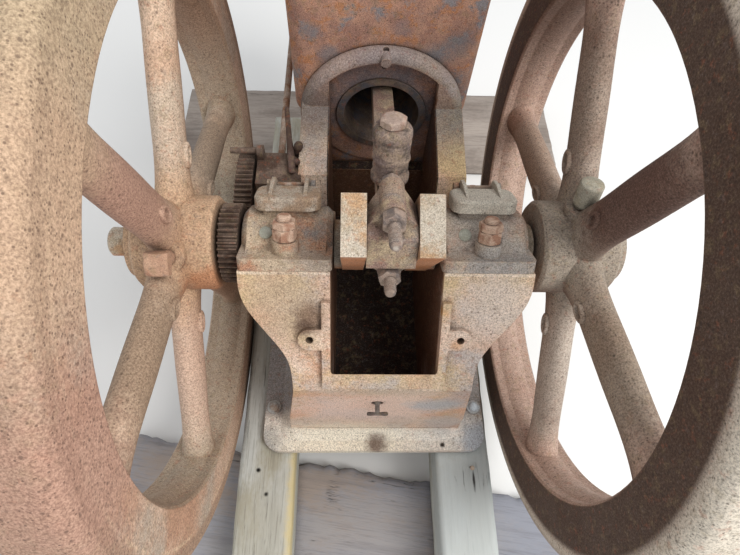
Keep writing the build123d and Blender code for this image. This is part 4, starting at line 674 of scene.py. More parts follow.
def worn_plank(size, along, seed, corner, wear, chips):
    """Bmesh of weathered timber in mm about its middle: rounded worn corners, raised grain, a splintered far edge."""
    fine = [10.0, 10.0, 10.0]
    fine[along] = 9.0
    cells = [max(4, round(s / f)) for s, f in zip(size, fine)]
    points, faces = box_skin(size, cells)
    half = [s / 2 for s in size]
    shift = Vector((seed, 2.3 * seed, 0.7 * seed))
    shape = bmesh.new()
    made = []
    for point in points:
        bend = noise.noise(point * 0.012 + shift)
        round_off = corner * (1.0 + 0.5 * noise.noise(point * 0.04 + shift))
        inner = Vector(max(-h + round_off, min(h - round_off, p)) for p, h in zip(point, half))
        outward = point - inner
        moved = point.copy()
        if outward.length > 0:
            moved = inner + outward.normalized() * round_off
            stretched = point.copy()
            stretched[along] *= 0.06
            ridge = noise.noise(stretched * 0.22 + shift) + 0.5 * noise.noise(stretched * 0.5 + shift)
            depth = wear * (0.75 + 0.5 * ridge) + 0.6 * abs(bend)
            moved -= outward.normalized() * max(0.0, depth)
        if chips and point.y > 0 and along == 0:
            slow = noise.noise(Vector((point.x * 0.05, seed, 0)))
            torn = 0.5 + slow + 0.7 * noise.noise(Vector((point.x * 0.3, seed, 4)))
            near = max(0.0, (point.y - half[1] + chips) / chips)
            moved.y -= near * chips * 0.28 * max(0.0, torn)
            if point.z > 0:
                moved.z -= near * near * 9.0 * max(0.0, 0.6 + torn)
        made.append(shape.verts.new(moved * MM))
    for face in faces:
        shape.faces.new([made[i] for i in face])
    return shape


def cover(material, *nodes):
    """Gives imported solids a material."""
    for name in nodes:
        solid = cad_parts[name]
        solid.data.materials.clear()
        solid.data.materials.append(material)


def names_like(*starts):
    """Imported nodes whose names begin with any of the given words."""
    return [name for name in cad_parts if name.startswith(starts)]


class EngineColours(bpy.types.PropertyGroup):
    """Colours that a user would change."""

    frame_tone: bpy.props.FloatVectorProperty(
        name="Frame", description="Base colour of the frame casting", subtype="COLOR", size=3,
        default=linear("cfb09c")[:3], min=0.0, max=1.0
    )
    wheel_tone: bpy.props.FloatVectorProperty(
        name="Wheels", description="Base colour of the left flywheel", subtype="COLOR", size=3,
        default=linear("c7a78e")[:3], min=0.0, max=1.0
    )
    timber_tone: bpy.props.FloatVectorProperty(
        name="Timber", description="Base colour of the skids", subtype="COLOR", size=3,
        default=linear("b3b1a6")[:3], min=0.0, max=1.0
    )


class EngineFittings(bpy.types.PropertyGroup):
    """Sizes of the fittings that the scene makes."""

    nut_across: bpy.props.FloatProperty(
        name="Cap nut", description="Width of the cap nuts across their flats", default=0.024, min=0.01, unit="LENGTH"
    )
    thread_pitch: bpy.props.FloatProperty(
        name="Thread pitch", description="Rise of the screw threads in one turn", default=0.0018, min=0.001,
        unit="LENGTH"
    )
    lug_radius: bpy.props.FloatProperty(
        name="Spoke lugs", description="Distance of the spoke lugs from the crank's axis", default=0.104, min=0.08,
        unit="LENGTH"
    )
    timber_wear: bpy.props.FloatProperty(
        name="Timber wear", description="Depth to which the timber's skin has weathered", default=0.0016, min=0.0,
        unit="LENGTH"
    )


class EngineStage(bpy.types.PropertyGroup):
    """Light and floor."""

    sky: bpy.props.FloatProperty(
        name="Sky", description="Strength of the even light from all round", default=0.78, min=0.0
    )
    lamp: bpy.props.FloatProperty(
        name="Lamp", description="Power of the large lamp over the engine", default=60.0, min=0.0, unit="POWER"
    )
    floor_size: bpy.props.FloatProperty(
        name="Floor", description="Length of the floor's side", default=9.0, min=2.0, unit="LENGTH"
    )


class ENGINE_OT_castings(bpy.types.Operator):
    """Finishes the frame, the bearing caps, the hopper and the head"""

    bl_idname = "engine.castings"
    bl_label = "Castings"

    def execute(self, context):
        tone = context.scene.engine_colours.frame_tone
        body = iron_finish(
            "frame_iron_finish",
            (
                tone,
                ("dbc6b3", 9.0, 0.5, 0.12, 0.25),
                ("d1a486", 13.0, 0.42, 0.1, 0.35),
                ("c6ae86", 11.0, 0.35, 0.12, 0.2),
                ("b7aca6", 15.0, 0.3, 0.1, 0.3),
            ),
            pit="523a2e", pale="eddbc9", grain=440.0, pits=0.95, pales=0.5, edge="d9ac8a", edge_amount=0.5,
            under="b57c58", regions=FRAME_REGIONS, dirt_and_shade_reach=18.0,
            stains_and_painted_light=(
                ((-115, -85, 5), 62, 0.8, "b39f87", (1, 1, 1)),
                ((122, -85, 10), 62, 0.8, "cdbfb4", (1, 1, 1)),
                # Dark brown spots beside the left ear: painted shade in the hollow
                ((-88, -98, -2), 24, 0.75, "6f5545"),
                ((-96, -106, -14), 15, 0.6, "5a4438"),
                ((-172, -180, -309), 34, 0.8, "8a8d90"),
                ((168, -176, -309), 42, 0.8, "a3adb8"),
                ((-60, -176, -300), 60, 0.5, "efe6cf", (2.4, 1, 1)),
                ((84, -118, -28), 12, 0.6, "c98d52"),
                ((-20, -160, -170), 90, 0.6, "e2c7ba", (1.6, 1, 1)),
                ((0, -148, -84), 30, 0.7, "bbab99", (4, 1, 1)),
                ((78, -158, -150), 38, 0.75, "a8abae", (1.4, 1, 1)),
                ((104, -158, -255), 44, 0.6, "a9a7a6", (1, 1, 1.4)),
                ((-30, -185, -305), 60, 0.5, "e4dbc8", (2.2, 1, 1)),
                ((2, -182, -306), 22, 0.85, "5d463b"),
                ((108, -183, -309), 5, 1.0, "1a1411"),
                # Dark brown spot beside the left ear: painted shade in the hollow
                ((-100, -85, -20), 22, 0.8, "4a3d35"),
                ((66, -92, 5), 9, 0.8, "c98a3c"),
                ((-98, 200, 30), 50, 0.6, "59555a"),
                ((98, 200, -20), 60, 0.6, "55565c"),
                ((0, 205, 108), 30, 0.5, "6f6a70", (2, 1, 1)),
            ),
        )
        cover(body, "base_frame")
        caps = iron_finish(
            "cap_iron_finish",
            (
                "a99a8b",
                ("bba890", 18.0, 0.5, 0.1, 0.3),
                ("b3866a", 22.0, 0.35),
                ("8b8682", 16.0, 0.35, 0.1, 0.3),
            ),
            pit="3f302a", pale="dacab8", grain=520.0, pits=0.95, pales=0.6, edge="d8bea4", under="9b6b4c",
            edge_radius=2.2, dirt_and_shade=0.5,
            stains_and_painted_light=(((115, -10, 20), 80, 0.75, "b3ada6"),),
        )
        cover(caps, "bearing_cap_left", "bearing_cap_right")
        lids = iron_finish(
            "lid_iron_finish",
            ("ab9f90", ("bdb1a2", 30.0, 0.5, 0.1, 0.3), ("a18a74", 40.0, 0.4)),
            pit="41342b", pale="d3c8b8", grain=540.0, pits=0.9, pales=0.6, edge="cfc1ae", edge_radius=1.6,
            dirt_and_shade=0.5, stains_and_painted_light=(((115, 35, 50), 70, 0.8, "cdc8bb"),),
        )
        cover(lids, "oil_lid_left", "oil_lid_right")
        hopper = iron_finish(
            "hopper_iron_finish",
            (
                "b38b78",
                ("bf937c", 26.0, 0.5, 0.12, 0.5),
                ("a07a6c", 34.0, 0.45, 0.12, 0.5),
                ("b9825f", 60.0, 0.3, 0.06, 0.6),
                ("8b878a", 30.0, 0.22, 0.08, 0.5),
            ),
            pit="3b2820", pale="c9a184", grain=600.0, pits=0.95, pales=0.6, edge="b08e79", dirt_and_shade_reach=22.0,
            stains_and_painted_light=(
                ((-70, 223, 95), 20, 0.7, "828084"), ((62, 223, 96), 26, 0.7, "7f7e82"),
                ((-92, 223, 128), 18, 0.7, "847c7d"), ((92, 223, 112), 26, 0.65, "7e7b7e"),
                ((20, 223, 135), 16, 0.5, "8a7a7b"), ((105, 223, 55), 24, 0.5, "7e7778"),
                ((0, 221, 20), 105, 0.9, "66656c"),
            ),
        )
        cover(hopper, "hopper", "cylinder_head")
        return {"FINISHED"}


class ENGINE_OT_wheels(bpy.types.Operator):
    """Finishes the two flywheels"""

    bl_idname = "engine.wheels"
    bl_label = "Flywheels"

    def execute(self, context):
        tone = context.scene.engine_colours.wheel_tone
        left = iron_finish(
            "left_wheel_finish",
            (
                tone,
                ("d2b8a2", 5.0, 0.5, 0.12, 0.25),
                ("ba9278", 7.0, 0.4, 0.12, 0.35),
                ("b3a899", 9.0, 0.3, 0.1, 0.3),
            ),
            pit="4e392f", pale="e4d0bd", grain=400.0, pits=0.9, pales=0.45, edge="b98663", edge_amount=0.5,
            under="97755f", regions=LEFT_WHEEL_REGIONS, edge_radius=3.0, dirt_and_shade=0.55,
            stains_and_painted_light=(
                ((-245, -52, 163), 125, 0.9, "a5806f"),
                ((-245, -166, 41), 130, 0.9, "917b66"),
                ((-245, 166, -41), 130, 0.85, "877868"),
                ((-245, -118, -122), 120, 0.7, "c2a28f"),
                ((-250, -30, 366), 170, 0.8, "b09c80", (1, 1, 1)),
                ((-217, -160, 280), 120, 0.7, "bd9f85"),
                ((-217, -275, 165), 120, 0.8, "ab8473"),
                ((-205, -60, 0), 40, 0.7, "b87a52", (1, 1, 1)),
            ),
        )
        right = iron_finish(
            "right_wheel_finish",
            (
                "98887b",
                ("b5a598", 8.0, 0.5, 0.12, 0.3),
                ("7d5f51", 10.0, 0.35, 0.12, 0.4),
            ),
            pit="2d201a", pale="cdb9a9", grain=400.0, pits=0.9, pales=0.4, edge="a08370", edge_amount=0.5,
            under="6a5044", regions=RIGHT_WHEEL_REGIONS, edge_radius=3.0, dirt_and_shade=0.55,
            stains_and_painted_light=(
                ((230, 118, 122), 120, 0.7, "8a796b"),
                # Dark brown on the spoke that points up and forward: painted shade
                ((230, -52, 163), 125, 0.92, "5e463d"),
                ((230, -166, 41), 125, 0.7, "8c7d6c"),
                # Pale grey on the spoke that points down and forward: painted light
                ((230, -118, -122), 120, 0.7, "b5a99c"),
                ((230, 166, -41), 120, 0.7, "9c8472"),
            ),
        )
        cover(left, "flywheel_left")
        cover(right, "flywheel_right")
        return {"FINISHED"}


class ENGINE_OT_running_gear(bpy.types.Operator):
    """Finishes the crankshaft, rod, gears, studs, bolts and push rod"""

    bl_idname = "engine.running_gear"
    bl_label = "Running gear"

    def execute(self, context):
        crank = iron_finish(
            "crank_finish",
            ("b5a895", ("c0b5a5", 20.0, 0.5, 0.1, 0.3), ("b3916f", 26.0, 0.35)),
            pit="574538", pale="e2d7c7", grain=560.0, pits=0.9, pales=0.6, edge="dccfbd", under="b9784f",
            edge_radius=1.4, bump=0.4, rough=0.76,
        )
        cover(crank, "crankshaft", "shaft_collar")
        rod = iron_finish(
            "rod_finish",
            (
                "9c8877",
                ("b3a084", 30.0),
                ("8c7267", 34.0, 0.4),
                ("86807c", 26.0, 0.3, 0.1, 0.3),
            ),
            pit="382a24", pale="d3bcad", grain=520.0, pits=0.95, pales=0.6, edge="c9ae9d", under="7c5848",
            edge_radius=2.2,
        )
        cover(rod, "connecting_rod", "rod_cap")
        gear = iron_finish(
            "gear_finish",
            ("64544a", ("7f6c5f", 40.0, 0.45), ("4f3d33", 36.0, 0.4)),
            pit="211815", pale="a4907f", grain=520.0, pits=0.7, pales=0.25, edge="8f7a68", edge_radius=0.8,
        )
        cover(gear, "crank_pinion", "cam_gear", "latch_bracket", "rocker_arm")
        sooty = iron_finish(
            "piston_finish",
            ("5f5149", ("75655b", 40.0, 0.45), ("555358", 30.0, 0.4)),
            pit="1d1613", pale="90827a", grain=520.0, pits=0.6, pales=0.3, edge="9a8a7e", edge_radius=1.2,
        )
        cover(sooty, "piston", "wrist_pin")
        fasteners = iron_finish(
            "fastener_finish",
            ("9c897a", ("b4a395", 60.0), ("8b6750", 70.0, 0.35)),
            pit="3a2c25", pale="cdbdad", grain=760.0, pits=0.55, pales=0.3, edge="b3a291", edge_radius=0.7, bump=0.4,
        )
        cover(fasteners, "push_rod", "cam_gear_stud", *names_like("lid_pin", "head_stud"))
        washed = iron_finish(
            "base_bolt_finish",
            ("b3b3b0", ("9f8d7f", 50.0, 0.4),),
            pit="4b3428", pale="d6dadb", grain=620.0, pits=0.6, pales=0.35, edge="cfd3d4", edge_radius=0.8, bump=0.3,
            dirt_and_shade_code="5a3320", dirt_and_shade_reach=9.0, blotches=0.4, stains_and_painted_light=(((163, -123, -300), 14, 0.9, "ccd6de"),),
        )
        cover(washed, *names_like("base_bolt"))
        return {"FINISHED"}


class ENGINE_OT_fasteners(bpy.types.Operator):
    """Makes the cap studs with their double nuts, the rod bolts, the hub bolts and the cap plugs"""

    bl_idname = "engine.fasteners"
    bl_label = "Fasteners"
    CLEAN_STEEL = dict(
        grain=760.0, pits=0.5, pales=0.35, edge_radius=0.5, edge_amount=0.9, bump=0.2, dirt_and_shade_reach=7.0, dirt_and_shade=0.9,
        blotches=0.4,
    )

    def execute(self, context):
        pale = iron_finish(
            "stud_nut_finish",
            ("bda08c", ("cdb19b", 60.0), ("9c7560", 70.0, 0.35)),
            pit="4a352b", pale="dcc9b8", edge="e3cfbc", **self.CLEAN_STEEL,
        )
        dark = iron_finish(
            "bolt_finish",
            ("8e7d71", ("a39083", 60.0), ("6f6561", 50.0, 0.4)),
            pit="2f2522", pale="b9aaa0", edge="cdbdb0", **self.CLEAN_STEEL,
            stains_and_painted_light=(((0, -93.6, 145.7), 4, 0.8, "bdb3a8"), ((0, -78, 66), 5, 0.8, "c9bfb4")),
        )
        fittings = context.scene.engine_fittings
        across = fittings.nut_across / MM
        pitch = fittings.thread_pitch / MM
        for side_name, mid in CAP_SIDES:
            for place_name, reach, turn in (("front", -CAP_STUD_REACH, 0.35), ("rear", CAP_STUD_REACH, 0.1)):
                spot = axes_at((mid, 0, 0), CAP_UP) @ Matrix.Translation(Vector((0, reach, 0)) * MM)
                shape = bmesh.new()
                add_turned(shape, spot, [(7.9, -69), (7.9, 57.2), (6.6, 58.8)])
                add_nut(shape, spot, across, 30, 14, turn)
                add_nut(shape, spot, across, 44, 9, turn + 0.22)
                add_thread(shape, spot, 7.7, 53.2, 4.2, pale, pitch)
                name = "cap_stud_" + side_name + "_" + place_name
                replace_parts(add_piece(name + "_detail", shape, pale), name)
        joint = axes_at((0, *CRANK_PIN), (0, *ROD_DIRECTION))
        for name, reach, turn in (("rod_bolt_upper", -ROD_BOLT_REACH, 0.52), ("rod_bolt_lower", ROD_BOLT_REACH, 0.25)):
            spot = joint @ Matrix.Translation(Vector((0, reach, 0)) * MM)
            shape = bmesh.new()
            end = -64 if reach < 0 else -54
            add_turned(shape, spot, [(3.0, end), (5.0, end + 0.8), (5.9, end + 2.5), (5.9, 30)])
            add_nut(shape, spot, 22, -34, 14, turn)
            add_nut(shape, spot, 19, 26, 10, turn)
            add_thread(shape, spot, 5.9, end + 4.5, -34 - end - 4.5, dark, pitch)
            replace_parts(add_piece(name + "_detail", shape, dark), name)
        disc = iron_finish(
            "plug_finish",
            ("a7a99c", ("b9bbb0", 80.0, 0.5, 0.1, 0.3),),
            pit="5d5c50", pale="cfd2c8", grain=700.0, pits=0.5, pales=0.4, edge="d2d4ca", edge_radius=0.6, bump=0.25,
            rough=0.6, dirt_and_shade_reach=5.0, blotches=0.3,
        )
        for side_name, mid in CAP_SIDES:
            self.plugged_cap("bearing_cap_" + side_name, axes_at((mid, 0, 0), CAP_UP))
            leaned = (0, math.sin(CAP_TILT - CAP_PLUG_LEAN), math.cos(CAP_TILT - CAP_PLUG_LEAN))
            seat = Vector((mid + CAP_PLUG_ASIDE, 0, 0)) + Vector(leaned) * CAP_BARREL
            shape = bmesh.new()
            add_turned(shape, axes_at(seat, leaned), [(7.4, -3), (7.4, 0.5), (6.7, 1.1), (4.0, 1.4), (1.0, 1.5)])
            add_piece("cap_plug_" + side_name, shape, disc, smooth=True)
        self.hub_bolts()
        return {"FINISHED"}

    def plugged_cap(self, name, axes):
        """Copy of a packed cap whose plug stands no higher than the flange."""
        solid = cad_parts[name]
        shape = bmesh.new()
        shape.from_mesh(solid.data)
        shape.transform(solid.matrix_world)
        bmesh.ops.remove_doubles(shape, verts=shape.verts, dist=0.00001)
        back = axes.inverted()
        for vert in shape.verts:
            spot = back @ vert.co / MM
            if math.hypot(spot.x - CAP_PLUG_ASIDE, spot.y + CAP_STUD_REACH) < 7.6 and spot.z > 17:
                vert.co = axes @ (Vector((spot.x, spot.y, 15.5)) * MM)
        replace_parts(add_piece(name + "_plugged", shape, solid.data.materials[0]), name)

    def hub_shank(self, side_name, length):
        """Shank of a hub bolt from the shaft outwards, and its axes."""
        middle, angle = HUB_BOLTS[side_name]
        spot = axes_at((middle, 0, 0), (0, math.cos(angle), math.sin(angle)))
        shape = bmesh.new()
        add_turned(shape, spot, [(10, 18.2), (10, length)])
        return shape, spot

    def hub_bolts(self):
        """Square set bolt of the left hub and round one of the right."""
        shape, spot = self.hub_shank("left", 85)
        add_nut(shape, spot, 25, 84, 16, turn=math.radians(45), sides=4, bevel=0.3)
        head = iron_finish(
            "left_bolt_finish",
            ("b28d75", ("c6a48a", 40.0, 0.5, 0.1, 0.3),),
            pit="4e3a30", pale="dcc8b4", grain=560.0, pits=0.6, pales=0.3, edge="d2b297", edge_radius=1.6,
        )
        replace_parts(add_piece("hub_bolt_left_detail", shape, head), "hub_bolt_left")
        shape, spot = self.hub_shank("right", 80)
        add_turned(shape, spot, [(12.6, 70), (13.6, 72), (13.6, 97.4), (12.6, 99.2), (9.5, 100)])
        end = iron_finish(
            "right_bolt_finish",
            ("8f8a7b", ("a29d8e", 40.0, 0.5, 0.1, 0.3),),
            pit="3d352d", pale="bdb9aa", grain=560.0, pits=0.6, pales=0.3, edge="b3ae9f", edge_radius=1.6,
        )
        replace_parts(add_piece("hub_bolt_right_detail", shape, end), "hub_bolt_right")


class ENGINE_OT_small_fittings(bpy.types.Operator):
    """Makes the oil cup, the drain cock, the spoke lugs and the latch's knob and lever"""

    bl_idname = "engine.small_fittings"
    bl_label = "Small fittings"

    def execute(self, context):
        self.oil_cup()
        self.drain()
        self.spoke_lugs(context.scene.engine_fittings.lug_radius)
        self.latch()
        return {"FINISHED"}

    def oil_cup(self):
        """Oil cup on the rod: round foot, rough wound body, collar and chamfered cap."""
        ahead, down = ROD_DIRECTION
        seat = (0, CRANK_PIN[0] + OIL_CUP_REACH * ahead, CRANK_PIN[1] + OIL_CUP_REACH * down)
        spot = axes_at(seat, (0, -down, ahead))
        wound = iron_finish(
            "wound_cup_finish",
            (
                "8c7a6e",
                ("9c8979", 60.0, 0.5, 0.08, 0.5),
                ("7b6b66", 50.0, 0.4, 0.1, 0.5),
                ("625750", 70.0, 0.3, 0.1, 0.5),
            ),
            pit="2b2220", pale="b8a99c", grain=520.0, pits=0.8, pales=0.5, edge="a99a90", edge_radius=0.8, bump=0.9,
            dirt_and_shade_reach=8.0,
        )
        collar = iron_finish(
            "cup_cap_finish",
            ("9d8a7f", ("b09b8d", 60.0), ("93705e", 60.0, 0.3)),
            pit="4a3a33", pale="d8c8bb", grain=620.0, pits=0.5, pales=0.3, edge="cdb8aa", edge_radius=1.0, bump=0.4,
        )
        body = [(16.5, 24.1), (20.6, 25.6), (20.8, 31.0), (18.9, 33.5)]
        body += [(18.9 + 0.012 * (h - 34), h) for h in range(35, 50)]
        body += [(19.9, 50.5), (20.3, 52), (20.0, 54), (19.4, 55.5)]
        body += [(19.4 + 0.008 * (h - 56), h) for h in range(57, 70)]
        body += [(19.9, 70.5), (20.2, 71.5), (19.6, 73), (19.2, 74.5), (20.3, 76.5), (20.5, 79), (20.2, 84)]
        body += [(18.9, 86.6), (16.5, 88.2), (13.4, 88.8)]

        def rough(angle, height):
            share = max(0.0, min(1.0, (height - 32) / 4, (76 - height) / 4))
            at = Vector((7 * math.cos(angle), 7 * math.sin(angle), height * 0.8))
            return share * (0.7 * noise.noise(at * 0.22) + 0.4 * noise.noise(at * 0.9) + 0.2 * noise.noise(at * 2.4))

        shape = bmesh.new()
        add_turned(shape, spot, body, 120, ripple=rough)
        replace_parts(add_piece("rod_oil_cup_body", shape, wound, smooth=True), "rod_oil_cup")
        shape = bmesh.new()
        add_nut(shape, spot, 25.0, 87.5, 10.5, turn=0.3, bevel=0.2)
        add_piece("rod_oil_cup_cap", shape, collar)

    def drain(self):
        """Drain cock: short stub and a flat wing handle across it."""
        spot = axes_at((-4, -160, -140), (0, -1, 0))
        metal = iron_finish(
            "drain_finish",
            ("554c48", ("7d746d", 60.0),),
            pit="1f1a18", pale="c9c2ba", grain=620.0, pits=0.5, pales=0.4, edge="bdb5ac", edge_radius=0.8,
            dirt_and_shade_reach=14.0,
        )
        shape = bmesh.new()
        add_turned(shape, spot, [(4.4, -11), (4.4, 1.0), (3.2, 2.2), (3.0, 12.5), (2.0, 13.5)])
        across = axes_at((-18, -174, -141.5), (1, 0, 0), (0, 1, 0))
        wing = [(1.2, 0), (2.4, 1.2), (2.7, 5), (2.2, 10), (2.2, 18), (2.7, 23), (2.4, 26.8), (1.2, 28)]
        add_turned(shape, across, wing, oval=0.8)
        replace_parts(add_piece("drain_stub_detail", shape, metal, smooth=True), "drain_stub")

    def spoke_lugs(self, radius):
        """Small oval bosses with a hole, one at the root of every spoke, on the side towards the engine."""
        profile = [(16, -12), (15.6, 0.5), (14.6, 2.4), (12.6, 3.4), (10.4, 3.2), (9.0, 2.2), (8.4, -2.5), (2.0, -3.0)]
        for side_name, face, inward, first in LUG_PLACES:
            boss = bmesh.new()
            add_turned(boss, Matrix.Identity(4), profile, 36, oval=0.58)
            model = linked_object("lug", boss, smooth=True)
            material = bpy.data.materials[side_name + "_wheel_finish"]
            mesh = grown_mesh("lugs", Count=6, Radius=radius, Phase=first, Boss=model, Material=material)
            turn = Matrix(((0, 0, inward), (inward, 0, 0), (0, 1, 0)))
            mesh.transform(Matrix.Translation(place(face, 0, 0)) @ turn.to_4x4())
            bpy.data.objects.remove(model)
            shape = bmesh.new()
            shape.from_mesh(mesh)
            add_piece("spoke_lugs_" + side_name, shape, material, smooth=True)

    def latch(self):
        """Knob and lever that stand on the latch bracket."""
        metal = iron_finish(
            "latch_finish",
            ("4c3b33", ("66524a", 60.0),),
            pit="191210", pale="8e7a6c", grain=620.0, pits=0.5, pales=0.3, edge="85705f", edge_radius=0.8,
        )
        shape = bmesh.new()
        foot, tip = Vector((-119, 108, 12)), Vector((-131, 205, 22))
        length = (tip - foot).length
        lever = [(3.2, -8), (4.6, -6), (4.8, 30), (3.6, 46), (3.4, length - 4), (2.4, length)]
        add_turned(shape, axes_at(foot, tip - foot), lever, 28, oval=0.7)
        knob = axes_at((-113, 139, 14), (0.3, 0.1, 1))
        add_turned(shape, knob, [(4, -14), (4.4, -4), (5.6, 0), (6.2, 5), (5.0, 9), (2.0, 10.4)], 28)
        add_turned(shape, axes_at((-115, 118, 8), (0.35, -0.2, 1)), [(3.4, -12), (3.6, 4), (4.6, 6), (3.4, 9)], 24)
        add_piece("latch_lever", shape, metal, smooth=True)


class ENGINE_OT_timber(bpy.types.Operator):
    """Makes the weathered skids and cross boards"""

    bl_idname = "engine.timber"
    bl_label = "Timber"

    def execute(self, context):
        tone = context.scene.engine_colours.timber_tone
        wear = context.scene.engine_fittings.timber_wear / MM
        skid = wood_finish(
            "skid_finish",
            (tone, ("c4c6c1", 12.0, 0.5, 0.12, 0.2), ("a8a392", 14.0, 0.35, 0.12, 0.3)),
            dark="79746a", along="Y", fibre=0.4,
            stains_and_painted_light=(
                ((-122, -250, -330), 17, 0.9, "cdbc8c", (1, 16, 3)),
                ((-183, -218, -325), 4.5, 1.0, "191512"),
                ((-168, -253, -325), 4.5, 1.0, "191512"),
                ((92, -300, -330), 16, 0.8, "3b3632", (1, 12, 4)),
                # Bluish pale wash on the right skid: painted sky light
                ((150, -290, -325), 120, 0.75, "c6cdcd", (1, 2, 1)),
                # Dark streak beside the standing nail: painted shadow of the nail
                ((157.5, -232, -325), 5, 0.95, "2a2320", (0.55, 4.5, 1)),
            ),
        )
        for name, seed in (("skid_left", 3.1), ("skid_right", 8.4)):
            self.lay_plank(name, skid, 1, seed, corner=5.5, wear=wear)
        steel = iron_finish(
            "nail_finish",
            ("a8937f", ("bfae9c", 60.0),),
            pit="3d2c23", pale="dccfc0", grain=700.0, pits=0.5, pales=0.3, edge="cfc0b0", edge_radius=0.5, bump=0.3,
        )
        shape = bmesh.new()
        nail = axes_at((154, -215, -325), (0.1, -0.25, 1))
        add_turned(shape, nail, [(1.6, -8), (1.6, 7.2), (3.4, 7.6), (3.6, 8.6), (2.8, 9.3), (1.0, 9.5)], 24)
        add_piece("skid_nail", shape, steel, smooth=True)
        front = wood_finish(
            "front_board_finish",
            ("a19d9d", ("93959e", 7.0, 0.5, 0.12, 0.2), ("a2958c", 11.0, 0.3, 0.12, 0.3)),
            dark="6d6a6e", turn=-math.radians(FRONT_BOARD_TURN), along="X", fibre=0.28, crack=0.8,
        )
        self.lay_plank("cross_board_front", front, 0, 5.7, corner=5.0, wear=wear, chips=20.0)
        rear = wood_finish(
            "rear_board_finish",
            ("9f958d", ("aca198", 9.0, 0.5, 0.12, 0.2), ("8c8179", 11.0, 0.4, 0.12, 0.3)),
            dark="6a625b", along="X", fibre=0.35,
        )
        self.lay_plank("cross_board_rear", rear, 0, 1.9, corner=4.0, wear=wear)
        return {"FINISHED"}

    def lay_plank(self, name, material, along, seed, corner, wear, chips=0.0):
        """Weathered plank in the place of a packed one."""
        low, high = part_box(name)
        middle = (low + high) / 2
        size = [(b - a) / MM for a, b in zip(low, high)]
        spin = 0.0
        if name == "cross_board_front":
            size = [BOARD_LENGTH, FRONT_BOARD_WIDTH, size[2]]
            spin = math.radians(FRONT_BOARD_TURN)
        shape = worn_plank(size, along, seed, corner, wear, chips)
        shape.transform(Matrix.Translation(middle) @ Matrix.Rotation(spin, 4, "Z"))
        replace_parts(add_piece(name + "_worn", shape, material, smooth=True), name)


class ENGINE_OT_stage(bpy.types.Operator):
    """Makes the floor, the light and the camera"""

    bl_idname = "engine.stage"
    bl_label = "Stage"

    def execute(self, context):
        scene = context.scene
        stage = scene.engine_stage
        half = stage.floor_size / 2
        mesh = bpy.data.meshes.new("floor")
        mesh.from_pydata([(-half, -half, 0), (half, -half, 0), (half, half, 0), (-half, half, 0)], [], [(0, 1, 2, 3)])
        floor = bpy.data.objects.new("floor", mesh)
        scene.collection.objects.link(floor)
        material = bpy.data.materials.new("floor_finish")
        material.use_nodes = True
        shader = material.node_tree.nodes["Principled BSDF"]
        shader.inputs["Base Color"].default_value = (0.86, 0.86, 0.85, 1)
        shader.inputs["Roughness"].default_value = 0.9
        mesh.materials.append(material)

        world = bpy.data.worlds.new("sky")
        scene.world = world
        world.use_nodes = True
        sky = world.node_tree.nodes["Background"]
        sky.inputs["Color"].default_value = (0.96, 0.98, 1.0, 1)
        sky.inputs["Strength"].default_value = stage.sky

        lamp = bpy.data.lights.new("top_lamp", "AREA")
        lamp.shape = "DISK"
        lamp.size = 1.6
        lamp.energy = stage.lamp
        lamp.color = (1.0, 0.98, 0.95)
        holder = bpy.data.objects.new("top_lamp", lamp)
        scene.collection.objects.link(holder)
        holder.location = (1.3, -1.0, 2.5)
        aim = place(0, 40, -40) - Vector(holder.location)
        holder.rotation_euler = aim.to_track_quat("-Z", "Y").to_euler()

        make_camera(scene)
        return {"FINISHED"}


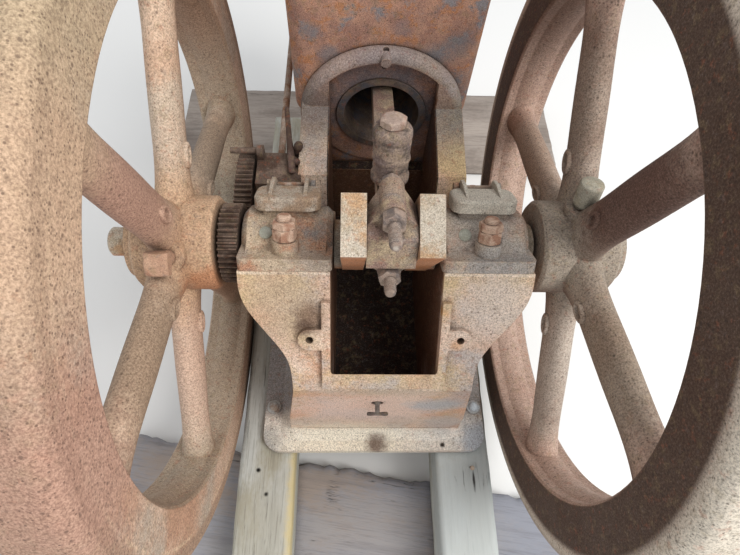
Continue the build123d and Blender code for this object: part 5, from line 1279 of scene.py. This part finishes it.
def make_camera(scene):
    """Camera at the photograph's viewpoint, from the fit to both flywheels' rims."""
    right = Vector((math.cos(CAMERA_YAW), math.sin(CAMERA_YAW), 0))
    level = Vector((-right.y, right.x, 0))
    ahead = level * math.cos(CAMERA_PITCH) + Vector((0, 0, math.sin(CAMERA_PITCH)))
    up = right.cross(ahead)
    right_rolled = right * math.cos(CAMERA_ROLL) + up * math.sin(CAMERA_ROLL)
    up_rolled = up * math.cos(CAMERA_ROLL) - right * math.sin(CAMERA_ROLL)
    camera = bpy.data.cameras.new("camera")
    camera.sensor_width = SENSOR_WIDTH
    camera.lens = CAMERA_FOCUS / PICTURE_WIDTH * SENSOR_WIDTH
    camera.clip_start = 0.02
    holder = bpy.data.objects.new("camera", camera)
    turn = Matrix((right_rolled, up_rolled, -ahead)).transposed()
    holder.matrix_world = Matrix.Translation(place(*CAMERA_PLACE)) @ turn.to_4x4()
    scene.collection.objects.link(holder)
    scene.camera = holder


class ENGINE_PT_sidebar(bpy.types.Panel):
    """Sidebar list of the engine's operators"""

    bl_label = "Gas engine"
    bl_idname = "ENGINE_PT_sidebar"
    bl_space_type = "VIEW_3D"
    bl_region_type = "UI"
    bl_category = "Engine"

    def draw(self, context):
        column = self.layout.column()
        scene = context.scene
        for group in (scene.engine_colours, scene.engine_fittings, scene.engine_stage):
            for name in group.__annotations__:
                column.prop(group, name)
        for step in STEPS:
            column.operator(step.bl_idname)


STEPS = (
    ENGINE_OT_castings,
    ENGINE_OT_wheels,
    ENGINE_OT_running_gear,
    ENGINE_OT_fasteners,
    ENGINE_OT_small_fittings,
    ENGINE_OT_timber,
    ENGINE_OT_stage,
)
CLASSES = (EngineColours, EngineFittings, EngineStage) + STEPS + (ENGINE_PT_sidebar,)


def register():
    """Registers the classes and the scene's settings."""
    for made in CLASSES:
        bpy.utils.register_class(made)
    bpy.types.Scene.engine_colours = bpy.props.PointerProperty(type=EngineColours)
    bpy.types.Scene.engine_fittings = bpy.props.PointerProperty(type=EngineFittings)
    bpy.types.Scene.engine_stage = bpy.props.PointerProperty(type=EngineStage)


def unregister():
    """Removes what register adds."""
    del bpy.types.Scene.engine_stage
    del bpy.types.Scene.engine_fittings
    del bpy.types.Scene.engine_colours
    for made in reversed(CLASSES):
        bpy.utils.unregister_class(made)


def main():
    """Registers the classes, runs every operator in order and sets the view transform."""
    register()
    bpy.ops.engine.castings()
    bpy.ops.engine.wheels()
    bpy.ops.engine.running_gear()
    bpy.ops.engine.fasteners()
    bpy.ops.engine.small_fittings()
    bpy.ops.engine.timber()
    bpy.ops.engine.stage()
    bpy.context.scene.view_settings.view_transform = "Standard"


if __name__ == "__main__":
    main()
